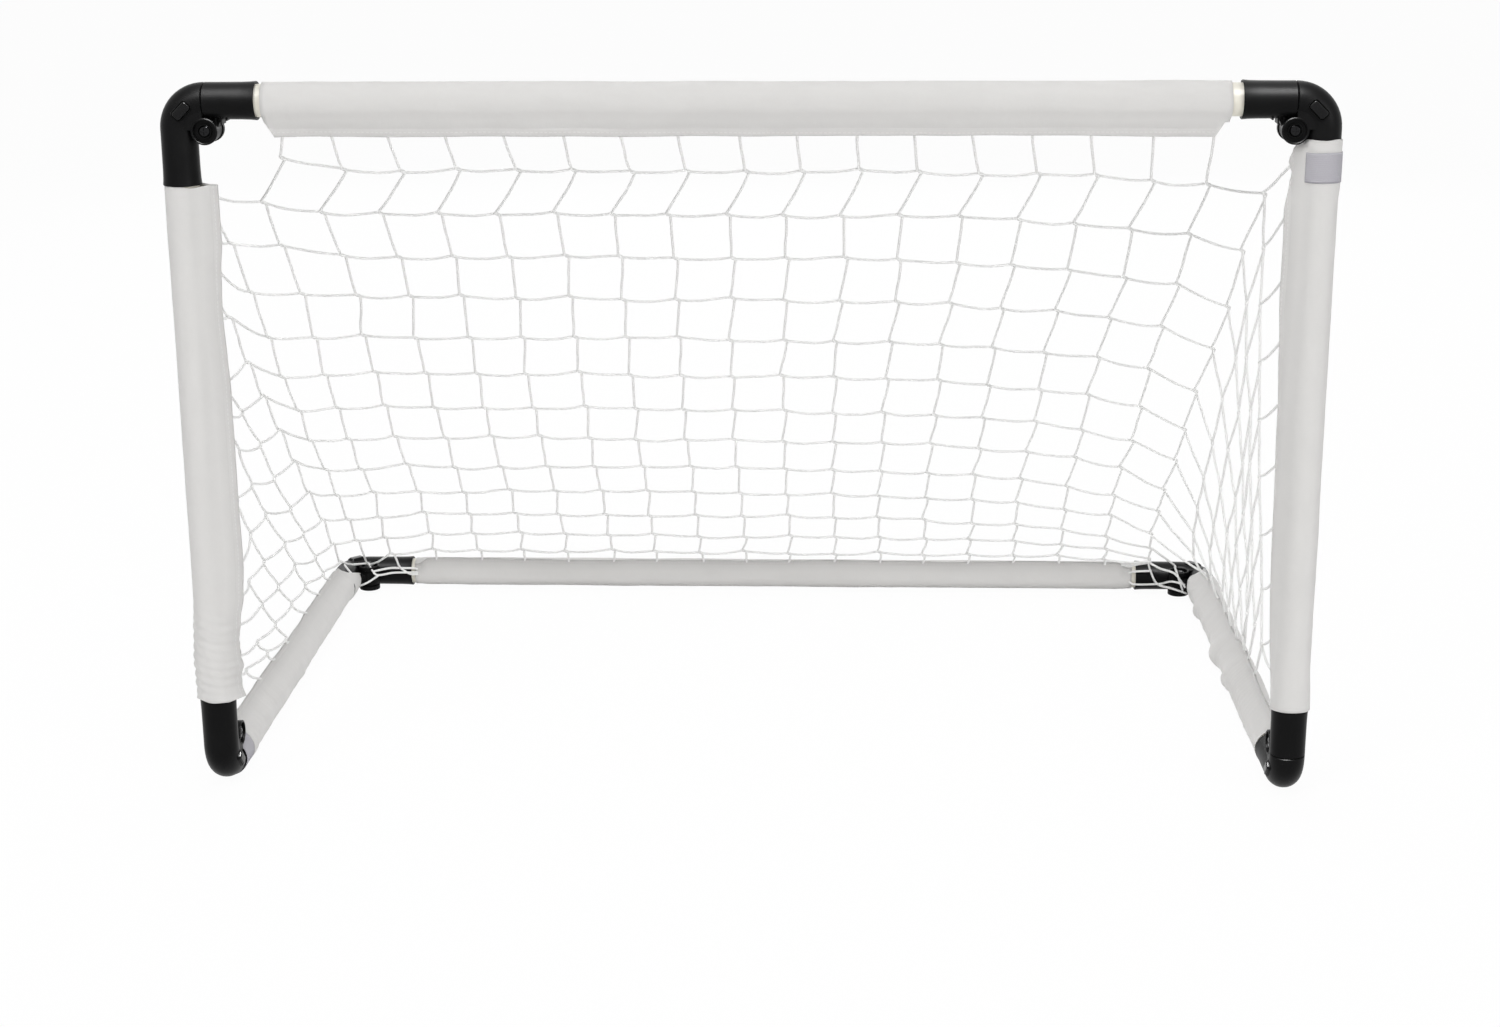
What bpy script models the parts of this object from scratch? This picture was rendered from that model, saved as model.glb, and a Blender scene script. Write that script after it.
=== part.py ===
# Foldable goal: six straight tubes joined by six hinged corner fittings, with sewn
# sleeves on the tubes and a net between them. Metres, +Z up. The mouth faces -Y, the
# crossbar runs along X, and the origin is below the middle, on the surface it stands on.

import math

import bmesh
import bpy
from mathutils import Matrix, Vector

# Overall sizes. Height and depth are one reach, because the base must fold flat onto
# the uprights and bring the rear hinges in line with the top ones.
FRAME_WIDTH = 0.890
FRAME_REACH = 0.570

# Tubes and the shells that hold them
TUBE_RADIUS = 0.0125
TUBE_WALL = 0.0014
FIT_GAP = 0.0003
SHELL_WALL = 0.0012
RIM_STEP = 0.001
RIM_LENGTH = 0.003
ROUND_SIDES = 16

# Corner fitting, measured from the corner where its two tube axes cross
BEND_RADIUS = 0.021
BEND_STEPS = 4
BEND_WALL = 0.003
LEG_LENGTH = 0.0425
SOCKET_LENGTH = 0.0402
TUBE_SEAT = 0.005

# Knuckle: two ears on the elbow, a lug on the socket, a screw and a nut
PIN_BEYOND_SEAM = 0.001
EAR_INNER = 0.008
EAR_THICKNESS = 0.004
EAR_ROOT = 0.006
RECESS_RADIUS = 0.0068
RECESS_DEPTH = 0.0025
LUG_ROOT = 0.010
LUG_SIDE_GAP = 0.0005
RUN_GAP = 0.0005
SCREW_RADIUS = 0.002
SCREW_HEAD_RADIUS = 0.0042
SCREW_HEAD_HEIGHT = 0.0018
SCREW_TOP_RADIUS = 0.0034
SCREW_SLOT_REACH = 0.0025
SCREW_SLOT_WIDTH = 0.0011
SCREW_SLOT_DEPTH = 0.0009
NUT_RADIUS = 0.0043
NUT_HEIGHT = 0.0018
NUT_SIDES = 6
PIN_SIDES = 10

# Push button, its pocket and its return spring
BUTTON_LENGTH = 0.0144
BUTTON_WIDTH = 0.0074
BUTTON_CORNER = 0.0018
BUTTON_BEVEL = 0.0006
BUTTON_FLANGE = 0.0018
BUTTON_FLANGE_TOP = 0.0089
BUTTON_FLANGE_BOTTOM = 0.0076
POST_RADIUS = 0.0030
POST_TOP = -0.0020
POST_SIDES = 8
SPRING_RADIUS = 0.0026
SPRING_WIRE = 0.0004
SPRING_TURNS = 4
SPRING_STEPS = 6

# Sewn sleeves
FABRIC_THICKNESS = 0.0008
FLAP_REACH = 0.0275
FLAP_THICKNESS = 0.0012
FLAP_RAMP = 0.010
BARE_TUBE = 0.007
BAND_LENGTH = 0.028
SIDE_BAND_LENGTH = 0.030
PULL_STEP = 0.001
PULL_OVER_LEG = 0.002
PULL_OVER_SOCKET = 0.002

# Net
CORD_WIDTH = 0.0018
BACK_COLUMNS = 18
BACK_ROWS = 13
BACK_SPREAD_ROWS = 2
BACK_TOP_INSET = 0.081
BACK_EDGE_INSET = 0.0163
SIDE_END_INSET = 0.0317
SIDE_CELLS = 14
SIDE_BEHIND = 0.0156
SIDE_LEAN = 0.0096

# How cut pieces are welded and shaded, and how far a cutter runs past what it cuts
WELD = 0.00001
SHARP_ANGLE = math.radians(35)
CUT_PAST = 0.012

# Values worked out from the sizes above
SHELL_RADIUS = TUBE_RADIUS + FIT_GAP + SHELL_WALL
RIM_RADIUS = SHELL_RADIUS + RIM_STEP
RIM_FLAT = RIM_RADIUS * math.cos(math.pi / ROUND_SIDES)
BEND_BORE = SHELL_RADIUS - BEND_WALL
LEG_END = BEND_RADIUS + LEG_LENGTH
SEAM_HALF_GAP = FIT_GAP
SOCKET_START = BEND_RADIUS + SEAM_HALF_GAP
SOCKET_END = BEND_RADIUS + SOCKET_LENGTH
TUBE_STOP = BEND_RADIUS + TUBE_SEAT
PIN_OFFSET = BEND_RADIUS + PIN_BEYOND_SEAM
EAR_OUTER = EAR_INNER + EAR_THICKNESS
EAR_RADIUS = PIN_OFFSET - math.sqrt(SHELL_RADIUS ** 2 - EAR_INNER ** 2) - RUN_GAP
LUG_HALF = EAR_INNER - LUG_SIDE_GAP
LUG_RADIUS = BEND_RADIUS - SHELL_RADIUS + PIN_BEYOND_SEAM * math.sqrt(2) - RUN_GAP
PIN_HOLE_RADIUS = (SCREW_RADIUS + FIT_GAP) / math.cos(math.pi / PIN_SIDES)
BUTTON_CENTRE = BEND_RADIUS * (1 - math.sqrt(0.5))

# Inner radius of a sleeve on a bare tube, and where it is pulled over a fitting's end
ON_TUBE = (TUBE_RADIUS + FIT_GAP) / math.cos(math.pi / ROUND_SIDES)
OVER_RIM = (RIM_RADIUS + FIT_GAP) / math.cos(math.pi / ROUND_SIDES)
SLEEVE_FLAT = (OVER_RIM + FABRIC_THICKNESS) * math.cos(math.pi / ROUND_SIDES)

# Tube axes: left and right, front and rear, low and high. The span is one length both
# ways, and the origin is in the middle between the sleeves' front and the rims' back.
AXIS_SPAN = FRAME_REACH - 2 * RIM_FLAT
AXIS_X = FRAME_WIDTH / 2 - RIM_FLAT
AXIS_FRONT = (SLEEVE_FLAT - RIM_FLAT - AXIS_SPAN) / 2
AXIS_REAR = AXIS_FRONT + AXIS_SPAN
AXIS_LOW = RIM_FLAT
AXIS_HIGH = AXIS_LOW + AXIS_SPAN

# A side net's mesh size, from the length of the upright that it is laced along
SIDE_PITCH = (AXIS_SPAN - FLAP_REACH - FIT_GAP - SIDE_END_INSET) * math.sqrt(2) / SIDE_CELLS

X = Vector((1, 0, 0))
Y = Vector((0, 1, 0))
Z = Vector((0, 0, 1))

# Each corner: the point where the tube axes cross, the way its elbow's leg runs, the
# way its socket runs, and the way its button faces
CORNERS = {
    "top_left": (Vector((-AXIS_X, AXIS_FRONT, AXIS_HIGH)), -Z, X, -Y),
    "top_right": (Vector((AXIS_X, AXIS_FRONT, AXIS_HIGH)), -Z, -X, -Y),
    "bottom_left": (Vector((-AXIS_X, AXIS_FRONT, AXIS_LOW)), Z, Y, X),
    "bottom_right": (Vector((AXIS_X, AXIS_FRONT, AXIS_LOW)), Y, Z, -X),
    "rear_left": (Vector((-AXIS_X, AXIS_REAR, AXIS_LOW)), X, -Y, Z),
    "rear_right": (Vector((AXIS_X, AXIS_REAR, AXIS_LOW)), -X, -Y, Z),
}

# The moving group that holds each fitting's elbow and its socket
ELBOW_GROUP = {
    "top_left": "left_upright",
    "top_right": "right_upright",
    "bottom_left": "left_upright",
    "bottom_right": "right_side",
    "rear_left": "rear_bar",
    "rear_right": "rear_bar",
}
SOCKET_GROUP = {
    "top_left": "crossbar",
    "top_right": "crossbar",
    "bottom_left": "left_side",
    "bottom_right": "right_upright",
    "rear_left": "left_side",
    "rear_right": "right_side",
}


def pin_point(corner):
    place, leg, socket, _ = CORNERS[corner]
    return place + (leg + socket) * PIN_OFFSET


# Where each moving group turns
GROUP_ORIGIN = {
    "crossbar": Vector((0, 0, 0)),
    "left_upright": pin_point("top_left"),
    "right_upright": pin_point("top_right"),
    "left_side": pin_point("bottom_left"),
    "right_side": pin_point("bottom_right"),
    "rear_bar": Vector((0, AXIS_FRONT + PIN_OFFSET, AXIS_LOW + PIN_OFFSET)),
}


def clear_scene():
    for obj in list(bpy.data.objects):
        bpy.data.objects.remove(obj, do_unlink=True)


def make_material(name, colour, roughness, metallic=0.0):
    material = bpy.data.materials.new(name)
    material.use_nodes = True
    shader = material.node_tree.nodes["Principled BSDF"]
    shader.inputs["Base Color"].default_value = (*colour, 1)
    shader.inputs["Roughness"].default_value = roughness
    shader.inputs["Metallic"].default_value = metallic
    return material


def make_groups():
    groups = {}
    for name, origin in GROUP_ORIGIN.items():
        empty = bpy.data.objects.new(name + "_axis", None)
        empty.location = origin
        bpy.context.collection.objects.link(empty)
        groups[name] = empty
    return groups


def mesh_object(name, bm, material=None, frame=None):
    # frame maps the fitting's own leg, socket and face directions to the world's
    if frame:
        bmesh.ops.transform(bm, matrix=frame, verts=bm.verts)
    bmesh.ops.recalc_face_normals(bm, faces=bm.faces)
    mesh = bpy.data.meshes.new(name)
    bm.to_mesh(mesh)
    bm.free()
    mesh.shade_smooth()
    mesh.set_sharp_from_angle(angle=SHARP_ANGLE)
    obj = bpy.data.objects.new(name, mesh)
    bpy.context.collection.objects.link(obj)
    if material:
        mesh.materials.append(material)
    return obj


def into_group(obj, group, origin=None):
    # the object keeps its place and turns about the group's axis, or its own origin
    parent = GROUPS[group]
    at = parent.location if origin is None else origin
    obj.data.transform(Matrix.Translation(-at))
    obj.parent = parent
    obj.location = at - parent.location
    return obj


def ring(centre, across, up, radius, sides=ROUND_SIDES):
    points = []
    for k in range(sides):
        turn = (k + 0.5) * 2 * math.pi / sides
        points.append(centre + (across * math.cos(turn) + up * math.sin(turn)) * radius)
    return points


def loft(bm, rings, loop=False):
    # skins a row of rings with equal counts; a loop joins the last to the first
    rows = [[bm.verts.new(p) for p in points] for points in rings]
    count = len(rows[0])
    pairs = list(zip(rows, rows[1:]))
    if loop:
        pairs.append((rows[-1], rows[0]))
    for low, high in pairs:
        for k in range(count):
            bm.faces.new((low[k], low[(k + 1) % count], high[(k + 1) % count], high[k]))
    if not loop:
        bm.faces.new(list(reversed(rows[0])))
        bm.faces.new(rows[-1])


def solid_from(rings, loop=False):
    bm = bmesh.new()
    loft(bm, rings, loop)
    return bm


def prism(outline, low, high):
    # an outline in the leg and socket plane, thick along the face direction
    return solid_from([[Vector((u, v, n)) for u, v in outline] for n in (low, high)])


def disc(centre, radius, low, high, sides):
    return prism([(p.x, p.y) for p in ring(Vector((*centre, 0)), X, Y, radius, sides)], low, high)


def cut_or_join(base, bm, operation):
    tool = mesh_object("tool", bm)
    modifier = base.modifiers.new(operation, "BOOLEAN")
    modifier.operation = operation
    modifier.solver = "EXACT"
    modifier.object = tool
    graph = bpy.context.evaluated_depsgraph_get()
    made = bpy.data.meshes.new_from_object(base.evaluated_get(graph))
    base.modifiers.clear()
    old = base.data
    base.data = made
    bpy.data.meshes.remove(old)
    tool_mesh = tool.data
    bpy.data.objects.remove(tool)
    bpy.data.meshes.remove(tool_mesh)


def finish_fitting(obj, corner, material):
    place, leg, socket, face = CORNERS[corner]
    frame = Matrix((leg, socket, face)).transposed().to_4x4()
    frame.translation = place
    bm = bmesh.new()
    bm.from_mesh(obj.data)
    bmesh.ops.remove_doubles(bm, verts=bm.verts, dist=WELD)
    bmesh.ops.dissolve_degenerate(bm, edges=bm.edges, dist=WELD)
    bmesh.ops.transform(bm, matrix=frame, verts=bm.verts)
    if frame.to_3x3().determinant() < 0:
        bmesh.ops.reverse_faces(bm, faces=bm.faces)
    bm.to_mesh(obj.data)
    bm.free()
    obj.data.materials.clear()
    obj.data.materials.append(material)
    obj.data.shade_smooth()
    obj.data.set_sharp_from_angle(angle=SHARP_ANGLE)


def bend_rings(radius, overshoot=0.0):
    # from the leg side to the seam, round the bend's centre, in steps of equal angle
    rings = []
    centre = Vector((BEND_RADIUS, BEND_RADIUS, 0))
    for k in range(BEND_STEPS + 1):
        turn = math.radians(90) * k / BEND_STEPS
        out = Vector((-math.sin(turn), -math.cos(turn), 0))
        rings.append(ring(centre + out * BEND_RADIUS, out, Z, radius))
    if overshoot:
        rings.append([p + Y * overshoot for p in rings[-1]])
    return rings


def leg_ring(along, radius):
    return ring(Vector((along, 0, 0)), -Y, Z, radius)


def socket_ring(along, radius):
    return ring(Vector((0, along, 0)), -X, Z, radius)


def ear_outline():
    start = -math.acos(-PIN_BEYOND_SEAM / EAR_RADIUS)
    seam_turn = math.radians(90) - start
    root = BEND_RADIUS - EAR_ROOT
    mid = BEND_RADIUS - root * math.sqrt(0.5)
    outline = [(EAR_ROOT, BEND_RADIUS), (mid, mid), (BEND_RADIUS, EAR_ROOT)]
    for k in range(PIN_SIDES + 1):
        turn = start + (seam_turn - start) * k / PIN_SIDES
        outline.append(
            (PIN_OFFSET + EAR_RADIUS * math.cos(turn), PIN_OFFSET + EAR_RADIUS * math.sin(turn))
        )
    return outline


def rounded_bar(length, width, corner, height):
    # eight points of a bar with cut corners, its length across the bend's radius
    along = Vector((1, -1, 0)).normalized()
    across = Vector((1, 1, 0)).normalized()
    centre = Vector((BUTTON_CENTRE, BUTTON_CENTRE, height))
    a, b, c = length / 2, width / 2, corner
    spots = [(a, b - c), (a - c, b), (c - a, b), (-a, b - c)]
    spots += [(-p, -q) for p, q in spots]
    return [centre + along * p + across * q for p, q in spots]


def make_elbow(corner, material):
    body = solid_from(
        [leg_ring(LEG_END, RIM_RADIUS), leg_ring(LEG_END - RIM_LENGTH, RIM_RADIUS)]
        + [leg_ring(LEG_END - RIM_LENGTH - RIM_STEP, SHELL_RADIUS)]
        + bend_rings(SHELL_RADIUS)
    )
    obj = mesh_object(corner + "_elbow", body)
    for low, high in ((EAR_INNER, EAR_OUTER), (-EAR_OUTER, -EAR_INNER)):
        cut_or_join(obj, prism(ear_outline(), low, high), "UNION")
    bore = TUBE_RADIUS + FIT_GAP
    cavity = [leg_ring(LEG_END + RIM_LENGTH, bore), leg_ring(TUBE_STOP, bore)]
    cavity += [leg_ring(TUBE_STOP - RIM_STEP, BEND_BORE)] + bend_rings(BEND_BORE, RIM_LENGTH)
    cut_or_join(obj, solid_from(cavity), "DIFFERENCE")
    pin = (PIN_OFFSET, PIN_OFFSET)
    past = EAR_OUTER + CUT_PAST
    cut_or_join(obj, disc(pin, PIN_HOLE_RADIUS, -past, past, PIN_SIDES), "DIFFERENCE")
    floor = EAR_OUTER - RECESS_DEPTH
    cut_or_join(obj, disc(pin, RECESS_RADIUS, floor, past, PIN_SIDES), "DIFFERENCE")
    cut_or_join(obj, disc(pin, RECESS_RADIUS, -past, -floor, PIN_SIDES), "DIFFERENCE")
    grow = 2 * FIT_GAP
    pocket = [
        rounded_bar(BUTTON_LENGTH + grow, BUTTON_WIDTH + grow, BUTTON_CORNER, height)
        for height in (POST_TOP, SHELL_RADIUS + CUT_PAST)
    ]
    cut_or_join(obj, solid_from(pocket), "DIFFERENCE")
    centre = (BUTTON_CENTRE, BUTTON_CENTRE)
    post_foot = -(BEND_BORE + BEND_WALL / 2)
    cut_or_join(obj, disc(centre, POST_RADIUS, post_foot, POST_TOP, POST_SIDES), "UNION")
    finish_fitting(obj, corner, material)
    return into_group(obj, ELBOW_GROUP[corner])


def make_socket(corner, material):
    body = solid_from([
        socket_ring(SOCKET_START, SHELL_RADIUS),
        socket_ring(SOCKET_END - RIM_LENGTH - RIM_STEP, SHELL_RADIUS),
        socket_ring(SOCKET_END - RIM_LENGTH, RIM_RADIUS),
        socket_ring(SOCKET_END, RIM_RADIUS),
    ])
    obj = mesh_object(corner + "_socket", body)
    drop = PIN_OFFSET - SOCKET_START
    start = math.pi + math.asin(drop / LUG_RADIUS)
    outline = [(LUG_ROOT, SOCKET_START)]
    for k in range(PIN_SIDES + 1):
        turn = start + (2.5 * math.pi - start) * k / PIN_SIDES
        outline.append(
            (PIN_OFFSET + LUG_RADIUS * math.cos(turn), PIN_OFFSET + LUG_RADIUS * math.sin(turn))
        )
    outline.append((LUG_ROOT, PIN_OFFSET + LUG_RADIUS))
    cut_or_join(obj, prism(outline, -LUG_HALF, LUG_HALF), "UNION")
    bore = TUBE_RADIUS + FIT_GAP
    cavity = [
        socket_ring(SOCKET_START - RIM_LENGTH, BEND_BORE),
        socket_ring(TUBE_STOP - RIM_STEP, BEND_BORE),
        socket_ring(TUBE_STOP, bore),
        socket_ring(SOCKET_END + RIM_LENGTH, bore),
    ]
    cut_or_join(obj, solid_from(cavity), "DIFFERENCE")
    pin = (PIN_OFFSET, PIN_OFFSET)
    past = LUG_HALF + CUT_PAST
    cut_or_join(obj, disc(pin, PIN_HOLE_RADIUS, -past, past, PIN_SIDES), "DIFFERENCE")
    finish_fitting(obj, corner, material)
    return into_group(obj, SOCKET_GROUP[corner])


def pin_ring(height, radius, sides=PIN_SIDES):
    return ring(Vector((PIN_OFFSET, PIN_OFFSET, height)), X, Y, radius, sides)


def make_screw(corner, material):
    seat = EAR_OUTER - RECESS_DEPTH + FIT_GAP
    top = seat + SCREW_HEAD_HEIGHT
    tip = -(seat + NUT_HEIGHT)
    obj = mesh_object(corner + "_screw", solid_from([
        pin_ring(tip, SCREW_RADIUS),
        pin_ring(seat, SCREW_RADIUS),
        pin_ring(seat, SCREW_HEAD_RADIUS),
        pin_ring(top - SCREW_SLOT_DEPTH / 2, SCREW_HEAD_RADIUS),
        pin_ring(top, SCREW_TOP_RADIUS),
    ]))
    half = SCREW_SLOT_WIDTH / 2
    reach = SCREW_SLOT_REACH
    cross = [(half, half), (half, reach), (-half, reach), (-half, half), (-reach, half), (-reach, -half)]
    cross += [(-p, -q) for p, q in cross]
    outline = [(PIN_OFFSET + p, PIN_OFFSET + q) for p, q in cross]
    cut_or_join(obj, prism(outline, top - SCREW_SLOT_DEPTH, top + SCREW_SLOT_DEPTH), "DIFFERENCE")
    finish_fitting(obj, corner, material)
    return into_group(obj, ELBOW_GROUP[corner])


def make_nut(corner, material):
    seat = EAR_OUTER - RECESS_DEPTH + FIT_GAP
    bore = (SCREW_RADIUS + FIT_GAP) / math.cos(math.pi / NUT_SIDES)
    rings = [(-seat, NUT_RADIUS), (-seat - NUT_HEIGHT, NUT_RADIUS)]
    rings += [(-seat - NUT_HEIGHT, bore), (-seat, bore)]
    obj = mesh_object(
        corner + "_nut", solid_from([pin_ring(n, r, NUT_SIDES) for n, r in rings], loop=True)
    )
    finish_fitting(obj, corner, material)
    return into_group(obj, ELBOW_GROUP[corner])


def make_button(corner, material):
    flange = (BUTTON_LENGTH + 2 * BUTTON_FLANGE, BUTTON_WIDTH)
    body = (BUTTON_LENGTH, BUTTON_WIDTH)
    top = (BUTTON_LENGTH - 2 * BUTTON_BEVEL, BUTTON_WIDTH - 2 * BUTTON_BEVEL)
    levels = [(flange, BUTTON_FLANGE_BOTTOM), (flange, BUTTON_FLANGE_TOP), (body, BUTTON_FLANGE_TOP)]
    levels += [(body, RIM_FLAT - BUTTON_BEVEL), (top, RIM_FLAT)]
    obj = mesh_object(
        corner + "_button",
        solid_from([rounded_bar(*size, BUTTON_CORNER, height) for size, height in levels]),
    )
    finish_fitting(obj, corner, material)
    place, leg, socket, face = CORNERS[corner]
    origin = place + (leg + socket) * BUTTON_CENTRE + face * RIM_FLAT
    return into_group(obj, ELBOW_GROUP[corner], origin)


def make_spring(corner, material):
    low = POST_TOP + FIT_GAP + SPRING_WIRE
    high = BUTTON_FLANGE_BOTTOM - FIT_GAP - SPRING_WIRE
    centre = Vector((BUTTON_CENTRE, BUTTON_CENTRE, 0))
    steps = SPRING_TURNS * SPRING_STEPS
    rings = []
    for k in range(steps + 1):
        turn = 2 * math.pi * k / SPRING_STEPS
        out = X * math.cos(turn) + Y * math.sin(turn)
        middle = centre + out * SPRING_RADIUS + Z * (low + (high - low) * k / steps)
        rings.append([
            middle + out * SPRING_WIRE,
            middle + Z * SPRING_WIRE,
            middle - out * SPRING_WIRE,
            middle - Z * SPRING_WIRE,
        ])
    obj = mesh_object(corner + "_spring", solid_from(rings))
    finish_fitting(obj, corner, material)
    return into_group(obj, ELBOW_GROUP[corner])


def make_tube(name, start, way, length, group, material):
    across, up = frame_across(way)
    reach = [TUBE_STOP + FIT_GAP, length - TUBE_STOP - FIT_GAP]
    spots = [(reach[0], TUBE_RADIUS), (reach[1], TUBE_RADIUS)]
    spots += [(reach[1], TUBE_RADIUS - TUBE_WALL), (reach[0], TUBE_RADIUS - TUBE_WALL)]
    rings = [ring(start + way * along, across, up, radius) for along, radius in spots]
    return into_group(mesh_object(name, solid_from(rings, loop=True), material), group)


def frame_across(way):
    # two directions across a tube, in line with the world's axes
    across = Y if abs(way.x) > 0.5 else X
    return across, way.cross(across)


def make_sleeve(name, start, way, group, material, flap, stations):
    # stations: distance along, inner radius, and whether the flap stands there
    cross = way.cross(flap)
    shape = []
    for along, inner, flapped in stations:
        centre = start + way * along
        outer = inner + FABRIC_THICKNESS
        reach = FLAP_REACH if flapped else outer * math.cos(math.pi / ROUND_SIDES) + FABRIC_THICKNESS
        outside = [
            centre + flap * reach - cross * FLAP_THICKNESS / 2,
            centre + flap * reach + cross * FLAP_THICKNESS / 2,
        ]
        outside += ring(centre, flap, cross, outer)
        shape.append((outside, ring(centre, flap, cross, inner)))
    bm = bmesh.new()
    outer_rows = [[bm.verts.new(p) for p in outside] for outside, _ in shape]
    inner_rows = [[bm.verts.new(p) for p in inside] for _, inside in shape]
    for rows in (outer_rows, inner_rows):
        count = len(rows[0])
        for low, high in zip(rows, rows[1:]):
            for k in range(count):
                bm.faces.new((low[k], low[(k + 1) % count], high[(k + 1) % count], high[k]))
    for outside, inside in ((outer_rows[0], inner_rows[0]), (outer_rows[-1], inner_rows[-1])):
        edges = outside[2:]
        for k in range(ROUND_SIDES - 1):
            bm.faces.new((edges[k], edges[k + 1], inside[k + 1], inside[k]))
        bm.faces.new((outside[0], outside[1], edges[0], inside[0], inside[-1], edges[-1]))
    return into_group(mesh_object(name, bm, material), group)


def net_solid(cells, place, normal):
    # cells are polygons of lattice keys; each cord is a low ridge along a cell's edge
    bm = bmesh.new()
    half = CORD_WIDTH / 2
    tops, bottoms, uses = {}, {}, {}
    for cell in cells:
        for key in cell:
            if key not in tops:
                at = place(key)
                tops[key] = bm.verts.new(at + normal * half)
                bottoms[key] = bm.verts.new(at - normal * half)
    for cell in cells:
        points = [place(key) for key in cell]
        count = len(cell)
        rim = []
        for k in range(count):
            before = (points[k - 1] - points[k]).normalized()
            after = (points[(k + 1) % count] - points[k]).normalized()
            inward = (before + after).normalized()
            lean = math.sqrt(max(0.0, (1 - before.dot(after)) / 2))
            rim.append(bm.verts.new(points[k] + inward * half / lean))
        for k in range(count):
            a, b = cell[k], cell[(k + 1) % count]
            p, q = rim[k], rim[(k + 1) % count]
            bm.faces.new((tops[a], tops[b], q, p))
            bm.faces.new((bottoms[b], bottoms[a], p, q))
            edge = frozenset((a, b))
            uses[edge] = None if edge in uses else (a, b)
    for ends in uses.values():
        if ends:
            a, b = ends
            bm.faces.new((tops[b], tops[a], bottoms[a], bottoms[b]))
    return bm


def make_back_net(material):
    # from under the crossbar's flap down to the rear bar's flap
    lean = Vector((0, -1, 1)).normalized()
    low_end = Vector((0, AXIS_REAR, AXIS_LOW)) + lean * (FLAP_REACH + FIT_GAP)
    high_end = Vector((0, AXIS_FRONT, AXIS_HIGH - FLAP_REACH - FIT_GAP - CORD_WIDTH / 2 * lean.z))
    slope = low_end - high_end
    top_half = AXIS_X - BACK_TOP_INSET
    full_half = AXIS_X - BACK_EDGE_INSET

    def place(key):
        column, row = key
        half = top_half + (full_half - top_half) * min(row / BACK_SPREAD_ROWS, 1)
        return high_end + slope * row / BACK_ROWS + X * half * (2 * column / BACK_COLUMNS - 1)

    cells = [
        ((i, j), (i, j + 1), (i + 1, j + 1), (i + 1, j))
        for i in range(BACK_COLUMNS)
        for j in range(BACK_ROWS)
    ]
    normal = slope.cross(X).normalized()
    return into_group(mesh_object("back_net", net_solid(cells, place, normal), material), "crossbar")


def make_side_net(name, side, group, material):
    # a right triangle of square cells, set parallel to its long sloping edge; the two
    # cells at its right angle are left out, where the front knuckle stands
    leg = SIDE_CELLS * SIDE_PITCH * math.sqrt(0.5)
    foot = Vector((side * AXIS_X, AXIS_FRONT + SIDE_BEHIND, AXIS_LOW + FLAP_REACH + FIT_GAP))
    down = Vector((0, 1, -1)).normalized()
    inward = Vector((0, -1, -1)).normalized()
    top = foot + Z * leg

    def place(key):
        along, into = key
        at = top + down * along * SIDE_PITCH + inward * into * SIDE_PITCH
        at.x = foot.x - side * SIDE_LEAN * (at.z - foot.z) / leg
        return at

    cells = []
    for into in range(SIDE_CELLS // 2 - 1):
        first, last = into, SIDE_CELLS - into
        cells.append(((first, into), (first + 1, into), (first + 1, into + 1)))
        for along in range(first + 1, last - 1):
            cells.append(((along, into), (along + 1, into), (along + 1, into + 1), (along, into + 1)))
        cells.append(((last - 1, into), (last, into), (last - 1, into + 1)))
    return into_group(mesh_object(name, net_solid(cells, place, X), material), group)


clear_scene()
GROUPS = make_groups()
BLACK = make_material("black_plastic", (0.018, 0.018, 0.02), 0.42)
BUTTON_BLACK = make_material("button_plastic", (0.022, 0.022, 0.024), 0.35)
IVORY = make_material("ivory_plastic", (0.80, 0.77, 0.68), 0.4)
STEEL = make_material("steel", (0.12, 0.12, 0.125), 0.35, 1.0)
FABRIC = make_material("white_fabric", (0.72, 0.71, 0.69), 0.9)
BAND = make_material("grey_band", (0.52, 0.50, 0.53), 0.95)
CORD = make_material("net_cord", (0.72, 0.72, 0.71), 0.8)

for corner_name in CORNERS:
    make_elbow(corner_name, BLACK)
    make_socket(corner_name, BLACK)
    make_screw(corner_name, STEEL)
    make_nut(corner_name, STEEL)
    make_button(corner_name, BUTTON_BLACK)
    make_spring(corner_name, STEEL)

TOP_LEFT = CORNERS["top_left"][0]
TOP_RIGHT = CORNERS["top_right"][0]
BOTTOM_LEFT = CORNERS["bottom_left"][0]
BOTTOM_RIGHT = CORNERS["bottom_right"][0]
REAR_LEFT = CORNERS["rear_left"][0]
SPAN_X = 2 * AXIS_X

make_tube("crossbar_tube", TOP_LEFT, X, SPAN_X, "crossbar", IVORY)
make_tube("left_upright_tube", TOP_LEFT, -Z, AXIS_SPAN, "left_upright", IVORY)
make_tube("right_upright_tube", TOP_RIGHT, -Z, AXIS_SPAN, "right_upright", IVORY)
make_tube("left_side_tube", BOTTOM_LEFT, Y, AXIS_SPAN, "left_side", IVORY)
make_tube("right_side_tube", BOTTOM_RIGHT, Y, AXIS_SPAN, "right_side", IVORY)
make_tube("rear_bar_tube", REAR_LEFT, X, SPAN_X, "rear_bar", IVORY)

# Where the sleeves end, from the corner whose tube they start at
CROSSBAR_END = SOCKET_END + BARE_TUBE
CLEAR_OF_LEG = LEG_END + FIT_GAP
CLEAR_OF_SOCKET = SOCKET_END + FIT_GAP
PULLED_UP = PIN_OFFSET + EAR_RADIUS + RUN_GAP
BAND_END = PULLED_UP + BAND_LENGTH
SIDE_BAND_END = CLEAR_OF_SOCKET + SIDE_BAND_LENGTH


def tube_sleeve(first, last, first_flap=False, last_flap=False):
    # stations of a sleeve on a bare tube, its flap cut slantwise at the free ends
    marks = [(first, first_flap), (first + FLAP_RAMP, True), (last - FLAP_RAMP, True), (last, last_flap)]
    return [(along, ON_TUBE, flapped) for along, flapped in marks]


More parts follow.
